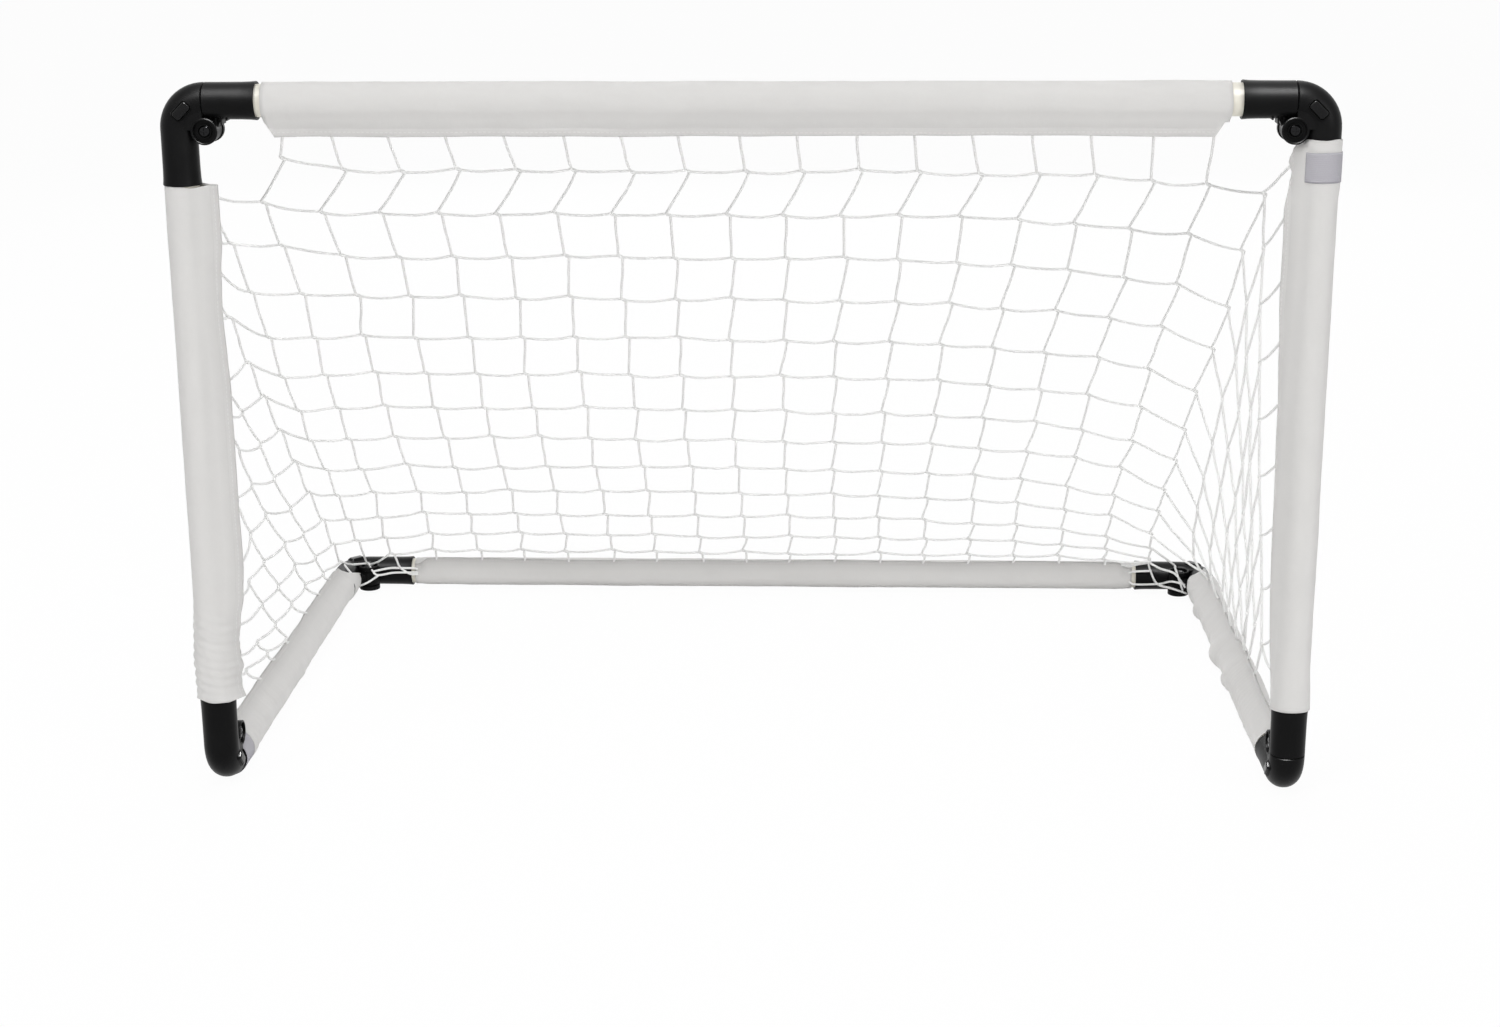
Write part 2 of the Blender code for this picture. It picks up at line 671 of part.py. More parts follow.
make_sleeve(
    "crossbar_sleeve", TOP_LEFT, X, "crossbar", FABRIC, -Z,
    tube_sleeve(CROSSBAR_END, SPAN_X - CROSSBAR_END),
)
make_sleeve(
    "rear_bar_sleeve", REAR_LEFT, X, "rear_bar", FABRIC, (Z - Y).normalized(),
    tube_sleeve(CLEAR_OF_LEG, SPAN_X - CLEAR_OF_LEG),
)
make_sleeve(
    "left_side_sleeve", BOTTOM_LEFT, Y, "left_side", FABRIC, Z,
    tube_sleeve(SIDE_BAND_END + FIT_GAP, AXIS_SPAN - CLEAR_OF_SOCKET, first_flap=True),
)
make_sleeve("left_side_band", BOTTOM_LEFT, Y, "left_side", BAND, Z, [
    (CLEAR_OF_SOCKET, ON_TUBE, False),
    (CLEAR_OF_SOCKET + FLAP_RAMP, ON_TUBE, True),
    (SIDE_BAND_END, ON_TUBE, True),
])
make_sleeve(
    "right_side_sleeve", BOTTOM_RIGHT, Y, "right_side", FABRIC, Z,
    tube_sleeve(CLEAR_OF_LEG, AXIS_SPAN - CLEAR_OF_SOCKET),
)

# Each upright's sleeve is pulled over the fitting below it, and the right one's band
# is closed over the fitting above it
LOW_LEG = AXIS_SPAN - LEG_END
make_sleeve("left_upright_sleeve", TOP_LEFT, -Z, "left_upright", FABRIC, X, [
    (CLEAR_OF_LEG, ON_TUBE, False),
    (CLEAR_OF_LEG + PULL_STEP, ON_TUBE, True),
    (LOW_LEG - PULL_STEP - FLAP_RAMP, ON_TUBE, True),
    (LOW_LEG - PULL_STEP, OVER_RIM, False),
    (LOW_LEG + PULL_OVER_LEG, OVER_RIM, False),
])
LOW_SOCKET = AXIS_SPAN - SOCKET_END
make_sleeve("right_upright_band", TOP_RIGHT, -Z, "right_upright", BAND, -X, [
    (PULLED_UP, OVER_RIM, False),
    (PULLED_UP + FLAP_RAMP, OVER_RIM, True),
    (BAND_END, OVER_RIM, True),
])
OFF_LEG = max(CLEAR_OF_LEG, BAND_END + FIT_GAP + PULL_STEP)
make_sleeve("right_upright_sleeve", TOP_RIGHT, -Z, "right_upright", FABRIC, -X, [
    (BAND_END + FIT_GAP, OVER_RIM, True),
    (OFF_LEG, OVER_RIM, True),
    (OFF_LEG + FLAP_RAMP, ON_TUBE, True),
    (LOW_SOCKET - PULL_STEP - FLAP_RAMP, ON_TUBE, True),
    (LOW_SOCKET - PULL_STEP, OVER_RIM, False),
    (LOW_SOCKET + PULL_OVER_SOCKET, OVER_RIM, False),
])

make_back_net(CORD)
make_side_net("left_net", -1, "left_upright", CORD)
make_side_net("right_net", 1, "right_upright", CORD)
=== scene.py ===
# Dresses the folding goal: moulded corner fittings, off-white tubes, sewn sleeves and a
# knotted net, in a white studio. Metres, +Z up, the mouth faces -Y.

import math
import random

import bmesh
import bpy
from mathutils import Matrix, Vector, noise


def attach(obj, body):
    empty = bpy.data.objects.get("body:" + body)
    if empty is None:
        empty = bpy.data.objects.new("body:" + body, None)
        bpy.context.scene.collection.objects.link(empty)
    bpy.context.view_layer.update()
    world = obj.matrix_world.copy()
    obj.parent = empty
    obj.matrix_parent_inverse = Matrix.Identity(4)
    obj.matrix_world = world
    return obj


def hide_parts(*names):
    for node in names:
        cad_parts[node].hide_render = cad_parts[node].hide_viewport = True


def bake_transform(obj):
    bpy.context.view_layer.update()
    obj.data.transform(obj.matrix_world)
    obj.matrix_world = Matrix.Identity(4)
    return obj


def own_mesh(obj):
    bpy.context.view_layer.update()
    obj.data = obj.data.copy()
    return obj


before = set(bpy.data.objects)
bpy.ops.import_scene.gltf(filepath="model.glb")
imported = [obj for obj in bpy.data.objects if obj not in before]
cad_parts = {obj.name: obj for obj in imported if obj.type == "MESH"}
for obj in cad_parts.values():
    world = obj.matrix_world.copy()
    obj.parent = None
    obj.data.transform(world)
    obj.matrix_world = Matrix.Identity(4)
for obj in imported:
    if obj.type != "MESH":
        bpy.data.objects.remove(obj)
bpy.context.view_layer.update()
print("frame loaded:", len(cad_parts), "nodes")

xAxis, yAxis, zAxis = Vector((1, 0, 0)), Vector((0, 1, 0)), Vector((0, 0, 1))

# where the tube axes lie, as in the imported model
goalFrame = {
    "axisX": 0.4302882,
    "axisFront": -0.2696018,
    "axisRear": 0.2709746,
    "axisLow": 0.0147118,
    "axisHigh": 0.5552882,
    "flapReach": 0.0275,
}
gx, gy, gz = goalFrame["axisX"], goalFrame["axisFront"], goalFrame["axisHigh"]
rearY, lowZ, flapReach = goalFrame["axisRear"], goalFrame["axisLow"], goalFrame["flapReach"]
spanX, spanY = 2 * gx, rearY - gy

# each corner: where its axes cross, the way of its leg, of its socket and of its button, and
# the bodies that its elbow and its socket belong to
corners = {
    "top_left": (Vector((-gx, gy, gz)), -zAxis, xAxis, -yAxis, "left_upright", "crossbar"),
    "top_right": (Vector((gx, gy, gz)), -zAxis, -xAxis, -yAxis, "right_upright", "crossbar"),
    "bottom_left": (Vector((-gx, gy, lowZ)), zAxis, yAxis, xAxis, "left_upright", "left_side"),
    "bottom_right": (Vector((gx, gy, lowZ)), yAxis, zAxis, -xAxis, "right_side", "right_upright"),
    "rear_left": (Vector((-gx, rearY, lowZ)), xAxis, -yAxis, zAxis, "rear_bar", "left_side"),
    "rear_right": (Vector((gx, rearY, lowZ)), -xAxis, -yAxis, zAxis, "rear_bar", "right_side"),
}


# shader sums
class Wire:
    # a socket that adds and multiplies like a number
    def __init__(self, tree, source):
        self.tree = tree
        self.source = source

    def run(self, operation, *others):
        made = self.tree.nodes.new("ShaderNodeMath")
        made.operation = operation
        for slotNumber, item in enumerate((self, *others)):
            put(self.tree, made.inputs[slotNumber], item)
        return Wire(self.tree, made.outputs[0])

    def __add__(self, other):
        return self.run("ADD", other)

    def __radd__(self, other):
        return self + other

    def __sub__(self, other):
        return self.run("SUBTRACT", other)

    def __mul__(self, other):
        return self.run("MULTIPLY", other)

    def __lt__(self, other):
        return self.run("LESS_THAN", other)


def put(tree, socket, item):
    # links a wire or a socket to this socket, or sets its value
    source = item.source if isinstance(item, Wire) else item
    if isinstance(source, bpy.types.NodeSocket):
        tree.links.new(source, socket)
    else:
        socket.default_value = source


class Nodes:
    # the nodes of a material or of the sky
    def __init__(self, owner):
        owner.use_nodes = True
        self.tree = owner.node_tree
        self.tree.nodes.clear()

    def node(self, kind, settings=None, **sockets):
        made = self.tree.nodes.new("ShaderNode" + kind)
        for key, value in (settings or {}).items():
            setattr(made, key, value)
        for key, value in sockets.items():
            put(self.tree, made.inputs[key.replace("_", " ")], value)
        return made

    def wire(self, source):
        return Wire(self.tree, source)

    def seenShare(self):
        # 1 for what the camera or a reflection sees, 0 for the light that falls on things
        path = self.node("LightPath")
        seen = self.wire(path.outputs["Is Camera Ray"])
        for kind in ("Is Glossy Ray", "Is Transmission Ray"):
            seen = seen.run("MAXIMUM", self.wire(path.outputs[kind]))
        return seen

    def mixShader(self, share, unseen, seen):
        made = self.node("MixShader", Fac=share)
        put(self.tree, made.inputs[1], unseen.outputs[0])
        put(self.tree, made.inputs[2], seen.outputs[0])
        return made.outputs[0]


class Finish(Nodes):
    # one material, with the nodes that every finish here uses
    def __init__(self, name, colour, roughness, metallic=0.0):
        self.material = bpy.data.materials.new(name)
        super().__init__(self.material)
        self.shader = self.node("BsdfPrincipled")
        self.out = self.node("OutputMaterial")
        put(self.tree, self.out.inputs["Surface"], self.shader.outputs[0])
        self.set("Base Color", (*colour, 1))
        self.set("Roughness", roughness)
        self.set("Metallic", metallic)
        self.bumps = None

    def set(self, socket, value):
        put(self.tree, self.shader.inputs[socket], value)

    def place(self):
        return self.node("TexCoord").outputs["Object"]

    def along(self):
        # metres along and across the piece, from its own map
        split = self.node("SeparateXYZ", Vector=self.node("TexCoord").outputs["UV"])
        return self.wire(split.outputs[0]), self.wire(split.outputs[1])

    def grain(self, scale, detail=3.0, roughness=0.55, vector=None):
        made = self.node(
            "TexNoise", Vector=vector or self.place(), Scale=scale, Detail=detail, Roughness=roughness
        )
        return self.wire(made.outputs["Fac"])

    def mixColour(self, share, low, high):
        made = self.node("Mix", {"data_type": "RGBA"})
        put(self.tree, made.inputs[0], share)
        for slotNumber, colour in ((6, low), (7, high)):
            put(self.tree, made.inputs[slotNumber], colour if isinstance(colour, Wire) else (*colour, 1))
        return self.wire(made.outputs[2])

    def bump(self, height, strength, distance=0.001):
        made = self.node("Bump", Height=height, Strength=strength, Distance=distance)
        if self.bumps:
            put(self.tree, made.inputs["Normal"], self.bumps)
        self.bumps = made.outputs[0]
        self.set("Normal", self.bumps)


def blackPlastic(name, colour, roughness, grainDepth, shine):
    finish = Finish(name, colour, roughness)
    finish.set("Specular IOR Level", shine)
    fine = finish.grain(1400, 2)
    cloud = finish.grain(45, 3)
    finish.set("Base Color", finish.mixColour(cloud, [c * 0.8 for c in colour], [c * 1.3 for c in colour]))
    finish.set("Roughness", roughness - 0.05 + cloud * 0.1 + fine * 0.06)
    finish.bump(fine, grainDepth, 0.0003)
    finish.bump(finish.grain(220, 2), 0.05, 0.0006)
    return finish.material


def tubePlastic():
    finish = Finish("tubeIvory", (0.80, 0.77, 0.68), 0.38)
    lengthways = finish.node("Mapping", Vector=finish.place(), Scale=(0.08, 1, 1))
    streak = finish.grain(260, 2, vector=lengthways.outputs[0])
    finish.set("Base Color", finish.mixColour(streak, (0.77, 0.735, 0.64), (0.82, 0.795, 0.71)))
    finish.set("Specular IOR Level", 0.14)
    finish.set("Roughness", 0.32 + streak * 0.16)
    finish.bump(streak, 0.08, 0.0004)
    return finish.material


def darkSteel():
    finish = Finish("darkSteel", (0.020, 0.020, 0.021), 0.2, 1.0)
    fine = finish.grain(1800, 2)
    finish.set("Roughness", 0.05 + fine * 0.10)
    finish.bump(fine, 0.1, 0.0002)
    return finish.material


cloth = {
    "weave": 0.0009,            # from one thread to the next but one
    "stitches": 280,            # in a metre of seam
    "stitchShare": 0.62,        # of each stitch that shows
    "seam": 0.0035,             # from the flap's edge
    "seamHalf": 0.00035,
    "fold": 0.0062,             # where the cloth that is turned in ends
    "foldHalf": 0.0003,
    "flap": 0.0145,             # from here to its edge the flap gets painted shade
    "flapShadeFade": 38,             # how fast, for each metre
}


def wovenCloth(name, light, shade):
    # plain weave with soft creases; across is metres from the flap's sewn edge
    finish = Finish(name, light, 0.88)
    along, across = finish.along()
    thread = 2 * math.pi / cloth["weave"]
    weft = (along * thread).run("SINE")
    warp = (across * thread).run("SINE")
    crease = finish.grain(38, 4, 0.6)
    broad = finish.grain(9, 2)
    tone = finish.mixColour(crease * 0.6 + broad * 0.4, shade, light)
    stitch = (along * cloth["stitches"]).run("FRACT") < cloth["stitchShare"]
    stitched = stitch * ((across - cloth["seam"]).run("ABSOLUTE") < cloth["seamHalf"])
    fold = (across - cloth["fold"]).run("ABSOLUTE") < cloth["foldHalf"]
    flapShade = (across * -1 + cloth["flap"]) * cloth["flapShadeFade"]      # painted shade, darker towards the flap's sewn edge
    tone = finish.mixColour(flapShade, tone, [c * 0.76 for c in shade])
    tone = finish.mixColour(stitched * 0.22, tone, (0.84, 0.84, 0.83))
    tone = finish.mixColour(fold * 0.12, tone, [c * 0.75 for c in shade])
    finish.set("Base Color", tone)
    finish.set("Roughness", 0.8 + crease * 0.15)
    finish.set("Sheen Weight", 0.25)
    finish.set("Specular IOR Level", 0.12)
    finish.bump(warp * weft, 0.1, 0.0002)
    finish.bump(crease, 0.30, 0.0020)
    finish.bump(stitched, 0.22, 0.0004)
    return finish.material


def nappedBand():
    finish = Finish("greyBand", (0.50, 0.485, 0.53), 0.95)
    nap = finish.grain(1500, 3, 0.7)
    rib = (finish.along()[0] * (2 * math.pi / 0.0014)).run("SINE")
    finish.set("Base Color", finish.mixColour(nap, (0.325, 0.316, 0.35), (0.405, 0.395, 0.43)))
    finish.bump(nap + rib * 0.3, 0.3, 0.0005)
    return finish.material


def twine():
    # two-ply cord: its lay runs round it as it goes along
    finish = Finish("netTwine", (0.88, 0.88, 0.87), 0.8)
    finish.set("Specular IOR Level", 0.12)
    along, across = finish.along()
    layAndGrooveShade = ((along * (2 * math.pi / 0.0042)) + (across * (2 * math.pi))).run("SINE")
    fuzz = finish.grain(2200, 2)
    # the ridges of the lay are lighter and its grooves darker: painted shade in the grooves
    finish.set("Base Color", finish.mixColour(layAndGrooveShade * 0.2 + 0.5, (0.80, 0.80, 0.79), (0.91, 0.91, 0.90)))
    finish.set("Roughness", 0.72 + fuzz * 0.2)
    finish.bump(layAndGrooveShade, 0.14, 0.0004)
    finish.bump(fuzz, 0.2, 0.0002)
    return finish.material


def studioWhite():
    # pale floor that the camera sees as white paper
    finish = Finish("studioWhite", (0.86, 0.86, 0.86), 0.95)
    paper = finish.node("Emission", Color=(1, 1, 1, 1), Strength=1.0)
    mixed = finish.mixShader(finish.seenShare() * 0.96, finish.shader, paper)
    put(finish.tree, finish.out.inputs["Surface"], mixed)
    return finish.material


fittingBlack = blackPlastic("fittingBlack", (0.0036, 0.0036, 0.0038), 0.33, 0.12, 0.068)
buttonBlack = blackPlastic("buttonBlack", (0.0052, 0.0052, 0.0055), 0.22, 0.05, 0.13)
tubeIvory = tubePlastic()
screwSteel = darkSteel()
sleeveCloth = wovenCloth("sleeveCloth", (0.715, 0.705, 0.69), (0.645, 0.635, 0.625))
bandCloth = nappedBand()
netTwine = twine()
print("finishes made")


# mesh building
def circle(centre, side, up, radius, sides, turn=0.0):
    # points round a centre, the first towards the side, the next ones towards the up way
    angles = [2 * math.pi * k / sides + turn for k in range(sides)]
    return [centre + (side * math.cos(a) + up * math.sin(a)) * radius for a in angles]


def makeMesh(name, points, faces, maps=None):
    made = bpy.data.meshes.new(name)
    made.from_pydata([tuple(p) for p in points], [], faces)
    if maps:
        layer = made.uv_layers.new(name="flat")
        for loop in made.loops:
            layer.data[loop.index].uv = maps[loop.vertex_index]
    return made


class Shape:
    # gathers skins and turned rings into one mesh
    def __init__(self):
        self.points = []
        self.faces = []

    def skin(self, rings, loop=False):
        # joins ring to ring, then closes both ends or joins them to each other
        base, count, last = len(self.points), len(rings[0]), len(rings) - 1
        for ring in rings:
            self.points.extend(ring)
        for low in range(last + 1 if loop else last):
            a, b = base + low * count, base + (low + 1) % len(rings) * count
            for k in range(count):
                n = (k + 1) % count
                self.faces.append((a + k, a + n, b + n, b + k))
        if not loop:
            self.faces.append(tuple(base + k for k in reversed(range(count))))
            self.faces.append(tuple(base + last * count + k for k in range(count)))

    def turned(self, centre, axis, across, profile, sides, loop=True):
        # profile: radius and height pairs, turned about an axis
        up = axis.cross(across)
        rings = [circle(centre + axis * height, across, up, radius, sides) for radius, height in profile]
        self.skin(rings, loop)


def shadeSoft(mesh, sharpFrom=32):
    # smooth but for edges that bend by more degrees than this
    mesh.shade_smooth()
    mesh.set_sharp_from_angle(angle=math.radians(sharpFrom))
    return mesh


def solid(build):
    shape = Shape()
    build(shape)
    mesh = makeMesh("blank", shape.points, shape.faces)
    mesh.validate()
    bm = bmesh.new()
    bm.from_mesh(mesh)
    bmesh.ops.remove_doubles(bm, verts=bm.verts, dist=0.00002)
    bmesh.ops.recalc_face_normals(bm, faces=bm.faces)
    bm.to_mesh(mesh)
    bm.free()
    return shadeSoft(mesh)


def showPiece(name, mesh, material):
    obj = bpy.data.objects.new(name, mesh)
    bpy.context.scene.collection.objects.link(obj)
    if material:
        mesh.materials.clear()
        mesh.materials.append(material)
    return obj


def carve(mesh, cutter, operation="DIFFERENCE"):
    # returns the first mesh cut by, or joined to, the second
    body, tool = showPiece("carved", mesh, None), showPiece("tool", cutter, None)
    step = body.modifiers.new("cut", "BOOLEAN")
    step.operation, step.solver, step.object = operation, "EXACT", tool
    graph = bpy.context.evaluated_depsgraph_get()
    made = bpy.data.meshes.new_from_object(body.evaluated_get(graph))
    for item in (body, tool):
        used = item.data
        bpy.data.objects.remove(item)
        bpy.data.meshes.remove(used)
    return made


def joinShapes(mesh, *extra):
    bm = bmesh.new()
    for item in (mesh, *extra):
        bm.from_mesh(item)
    bm.to_mesh(mesh)
    bm.free()
    return shadeSoft(mesh)


# corner fittings
fitting = {
    "shell": 0.0140,        # outer radius
    "lip": 0.0147,          # radius of the flared end
    "bore": 0.0128,
    "bend": 0.021,          # radius that the bend's middle follows
    "legEnd": 0.0635,
    "socketEnd": 0.0612,
    "tubeStop": 0.026,
    "seam": 0.0214,         # where the socket starts
    "pin": 0.022,           # the hinge pin, from both axes
    "ear": 0.0102,          # radius of the knuckle's two discs
    "earIn": 0.008,
    "earOut": 0.012,
    "dish": 0.0086,         # radius of the hollow in each disc
    "dishFloor": 0.0087,
    "lug": 0.0094,
    "sides": 48,
    "bendSteps": 14,
    "buttonLength": 0.0144,
    "buttonWidth": 0.0074,
    "buttonTop": 0.0158,
    "throat": 0.0112,       # inner radius past the tube's end
    "pinHole": 0.0023,
    "beyond": 0.03,         # a cutter reaches this far, past everything
}
pinSpot = Vector((fitting["pin"], fitting["pin"], 0))
buttonSpot = fitting["bend"] * (1 - math.sqrt(0.5))


def crossRing(centre, across, radius):
    return circle(centre, across, zAxis, radius, fitting["sides"])


def legRun(marks):
    return [crossRing(Vector((s, 0, 0)), -yAxis, r) for s, r in marks]


def socketRun(marks):
    return [crossRing(Vector((0, s, 0)), -xAxis, r) for s, r in marks]


def bendRun(radius):
    # rings round the bend, but for its last one
    bend, steps = fitting["bend"], fitting["bendSteps"]
    rings = []
    for k in range(steps):
        turn = math.radians(90) * k / steps
        out = Vector((-math.sin(turn), -math.cos(turn), 0))
        rings.append(crossRing(Vector((bend, bend, 0)) + out * bend, out, radius))
    return rings


def roundedBar(length, width, corner, height):
    # a rounded oblong across the bend, its length along the tube
    along, over = Vector((1, -1, 0)).normalized(), Vector((1, 1, 0)).normalized()
    centre = Vector((buttonSpot, buttonSpot, height))
    points, steps = [], 5
    for quarter, (sx, sy) in enumerate(((1, 1), (-1, 1), (-1, -1), (1, -1))):
        for k in range(steps + 1):
            turn = math.radians(90 * quarter + 90 * k / steps)
            px = sx * (length / 2 - corner) + corner * math.cos(turn)
            py = sy * (width / 2 - corner) + corner * math.sin(turn)
            points.append(centre + along * px + over * py)
    return points


def flatPlate(outline, low, high, edge=0.0):
    # an outline in the leg and socket plane, thick along the face's way
    middle = Vector((sum(p[0] for p in outline), sum(p[1] for p in outline), 0)) / len(outline)
    levels = [(low, edge), (low + edge, 0), (high - edge, 0), (high, edge)]
    rings = []
    for height, inset in levels if edge else levels[1:3]:
        spots = [Vector((x, y, 0)) for x, y in outline]
        rings.append([spot + zAxis * height + (middle - spot).normalized() * inset for spot in spots])
    return solid(lambda shape: shape.skin(rings))


def earOutline():
    f = fitting
    first = -math.acos((f["bend"] - f["pin"]) / f["ear"])
    reach, steps = 0.006, 24
    middle = f["bend"] - (f["bend"] - reach) * math.sqrt(0.5)
    outline = [(reach, f["bend"]), (middle, middle), (f["bend"], reach)]
    for k in range(steps + 1):
        turn = first + (math.radians(90) - 2 * first) * k / steps
        outline.append((f["pin"] + f["ear"] * math.cos(turn), f["pin"] + f["ear"] * math.sin(turn)))
    return outline


def turnedSolid(profile, sides=40, loop=False):
    return solid(lambda shape: shape.turned(pinSpot, zAxis, xAxis, profile, sides, loop))


def outerMarks(end):
    # place and radius along a fitting's outside, out to its flared end
    lip, shell = fitting["lip"], fitting["shell"]
    return [
        (0.030, shell), (end - 0.012, shell + 0.0001), (end - 0.005, shell + 0.0003),
        (end - 0.0016, lip - 0.0001), (end - 0.0004, lip), (end, lip - 0.0003), (end - 0.0002, lip - 0.0006),
    ]


def innerMarks(end):
    # the same from its end inward, past the step that stops the tube
    bore, stop = fitting["bore"], fitting["tubeStop"]
    return [
        (end - 0.0002, bore + 0.0004), (end - 0.0008, bore), (stop, bore), (stop - 0.001, fitting["throat"]),
    ]


def elbowMesh():
    f = fitting
    bend, shell, beyond, dish, ear = f["bend"], f["shell"], f["beyond"], f["dish"], f["ear"]
    outer = legRun(reversed(outerMarks(f["legEnd"]))) + bendRun(shell)
    outer += socketRun([(bend - 0.0006, shell), (bend - 0.0001, shell - 0.0005)])
    inner = socketRun([(bend - 0.0001, f["throat"])]) + list(reversed(bendRun(f["throat"])))
    inner += legRun(reversed(innerMarks(f["legEnd"])))
    mesh = solid(lambda shape: shape.skin(outer + inner, loop=True))
    for low, high in ((f["earIn"], f["earOut"]), (-f["earOut"], -f["earIn"])):
        mesh = carve(mesh, flatPlate(earOutline(), low, high), "UNION")
    room = f["earIn"] - 0.0001
    for radius, low, high, sides in (
        (dish, f["dishFloor"], beyond, 40),
        (dish, -beyond, -f["dishFloor"], 40),
        (f["pinHole"], -beyond, beyond, 20),
        (f["lug"] + 0.0004, -room, room, 40),
    ):
        mesh = carve(mesh, turnedSolid([(radius, low), (radius, high)], sides))
    length, width = f["buttonLength"], f["buttonWidth"]
    pocket = [roundedBar(length + 0.0009, width + 0.0009, 0.0020, height) for height in (0.002, beyond)]
    mesh = carve(mesh, solid(lambda shape: shape.skin(pocket)))
    rim = [(dish - 0.0001, 0.0112), (dish + 0.0002, 0.0121), (dish + 0.0005, 0.0123),
           (ear - 0.0005, 0.0123), (ear - 0.0001, 0.0120), (ear + 0.00005, 0.0112)]
    boss = [(0.0046, 0.0084), (0.0046, 0.0104), (0.0048, 0.0107), (0.0053, 0.0107), (0.0055, 0.0104),
            (0.0056, 0.0084)]
    extras = []
    for side in (1, -1):
        for profile in (rim, boss):
            extras.append(turnedSolid([(r, side * h) for r, h in profile], loop=True))
    lip = [(0.0007, 0.0105), (0.0007, 0.0138), (0.0011, 0.0143), (0.0019, 0.0143), (0.0025, 0.0138),
           (0.0027, 0.0105)]
    lipRings = [roundedBar(length + grow, width + grow, 0.0022 + grow / 4, height) for grow, height in lip]
    extras.append(solid(lambda shape: shape.skin(lipRings, loop=True)))
    return joinShapes(mesh, *extras)


def socketMesh():
    f = fitting
    shell, lug, start, throat = f["shell"], f["lug"], f["seam"], f["throat"]
    outer = socketRun([(start, shell - 0.0005), (start + 0.0005, shell)] + outerMarks(f["socketEnd"]))
    inner = socketRun(innerMarks(f["socketEnd"]) + [(start, throat)])
    mesh = solid(lambda shape: shape.skin(outer + inner, loop=True))
    half, edge = 0.0075, 0.0006
    extras = [turnedSolid([
        (f["pinHole"], -half), (lug - edge, -half), (lug, -half + edge), (lug, half - edge),
        (lug - edge, half), (f["pinHole"], half),
    ], loop=True)]
    neckIn = 0.0105
    neck = [(neckIn, 0.0222), (0.0225, 0.0222), (0.0225, 0.0300), (neckIn, 0.0345)]
    extras.append(flatPlate(neck, -0.0042, 0.0042, 0.0003))
    firstFin, finHalf = 0.0262, 0.0006
    for v in (firstFin, 0.0302, 0.0342, 0.0382):
        # small stiffening fins between the lug and the socket
        reach = 0.0232 - max(0.0, v - firstFin) * 0.72
        outline = [(neckIn, v - finHalf), (reach, v - finHalf), (reach, v + finHalf), (neckIn, v + finHalf)]
        extras.append(flatPlate(outline, -0.0066, 0.0066, 0.0002))
    return joinShapes(mesh, *extras)


def buttonMesh():
    # each level: how much longer and wider than the button it is, its corner and its height
    top = fitting["buttonTop"]
    levels = [
        (0.0036, 0, 0.0020, 0.0076), (0.0036, 0, 0.0020, 0.0089), (0, 0, 0.0018, 0.0090),
        (0, 0, 0.0018, top - 0.0010), (-0.0005, -0.0005, 0.0017, top - 0.0005),
        (-0.0014, -0.0014, 0.0014, top - 0.0001), (-0.0040, -0.0036, 0.0008, top),
    ]
    length, width = fitting["buttonLength"], fitting["buttonWidth"]
    return solid(lambda shape: shape.skin([roundedBar(length + a, width + b, c, h) for a, b, c, h in levels]))


def screwMesh():
    head = turnedSolid([
        (0.0020, -0.0112), (0.0020, 0.0098), (0.0041, 0.0098), (0.0042, 0.0102), (0.0041, 0.0108),
        (0.0035, 0.0114), (0.0022, 0.0117), (0.0006, 0.0118),
    ], 36)
    half, reach = 0.0005, 0.0026
    cross = [(half, half), (half, reach), (-half, reach), (-half, half), (-reach, half), (-reach, -half)]
    cross += [(-p, -q) for p, q in cross]
    outline = [(fitting["pin"] + p, fitting["pin"] + q) for p, q in cross]
    return shadeSoft(carve(head, flatPlate(outline, 0.0106, 0.014)))


def nutMesh():
    profile = [
        (0.0026, -0.0098), (0.0041, -0.0098), (0.0043, -0.0101), (0.0043, -0.0113), (0.0041, -0.0116),
        (0.0026, -0.0116),
    ]
    return turnedSolid(profile, 6, loop=True)


def springMesh():
    turns, steps, wire, radius, low, high = 5, 18, 0.0004, 0.0026, -0.0013, 0.0069
    rings = []
    for k in range(turns * steps + 1):
        turn = 2 * math.pi * k / steps
        out = Vector((math.cos(turn), math.sin(turn), 0))
        middle = Vector((buttonSpot, buttonSpot, low + (high - low) * k / (turns * steps))) + out * radius
        rings.append(circle(middle, out, zAxis, wire, 6))
    return solid(lambda shape: shape.skin(rings))


fittingMeshes = {
    "Elbow": (elbowMesh(), fittingBlack, "black_plastic"),
    "Socket": (socketMesh(), fittingBlack, "black_plastic"),
    "Button": (buttonMesh(), buttonBlack, "button_plastic"),
    "Screw": (screwMesh(), screwSteel, "steel"),
    "Nut": (nutMesh(), screwSteel, "steel"),
    "Spring": (springMesh(), screwSteel, "steel"),
}
for corner, (place, leg, socket, face, elbowBody, socketBody) in corners.items():
    turn = Matrix((leg, socket, face)).transposed().to_4x4()
    turn.translation = place
    words = corner.split("_")
    for kind, (mesh, material, slotName) in fittingMeshes.items():
        own = mesh.copy()
        own.transform(turn)
        if turn.to_3x3().determinant() < 0:
            own.flip_normals()
        obj = showPiece(words[0] + words[1].title() + kind, shadeSoft(own), material)
        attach(obj, {"Socket": socketBody, "Button": corner + "_button"}.get(kind, elbowBody))
        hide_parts(corner + "_" + kind.lower())
        if kind == "Spring":
            corner + "_button_press"
            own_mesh(obj)
print("fittings made")


# tubes
tubeLook = {"radius": 0.0125, "wall": 0.0014, "round": 0.0003, "sides": 48, "stop": 0.0263}
runs = {
    "crossbar": (corners["top_left"][0], xAxis, spanX, "crossbar"),
    "leftUpright": (corners["top_left"][0], -zAxis, spanY, "left_upright"),
    "rightUpright": (corners["top_right"][0], -zAxis, spanY, "right_upright"),
    "leftSide": (corners["bottom_left"][0], yAxis, spanY, "left_side"),
    "rightSide": (corners["bottom_right"][0], yAxis, spanY, "right_side"),
    "rearBar": (corners["rear_left"][0], xAxis, spanX, "rear_bar"),
}


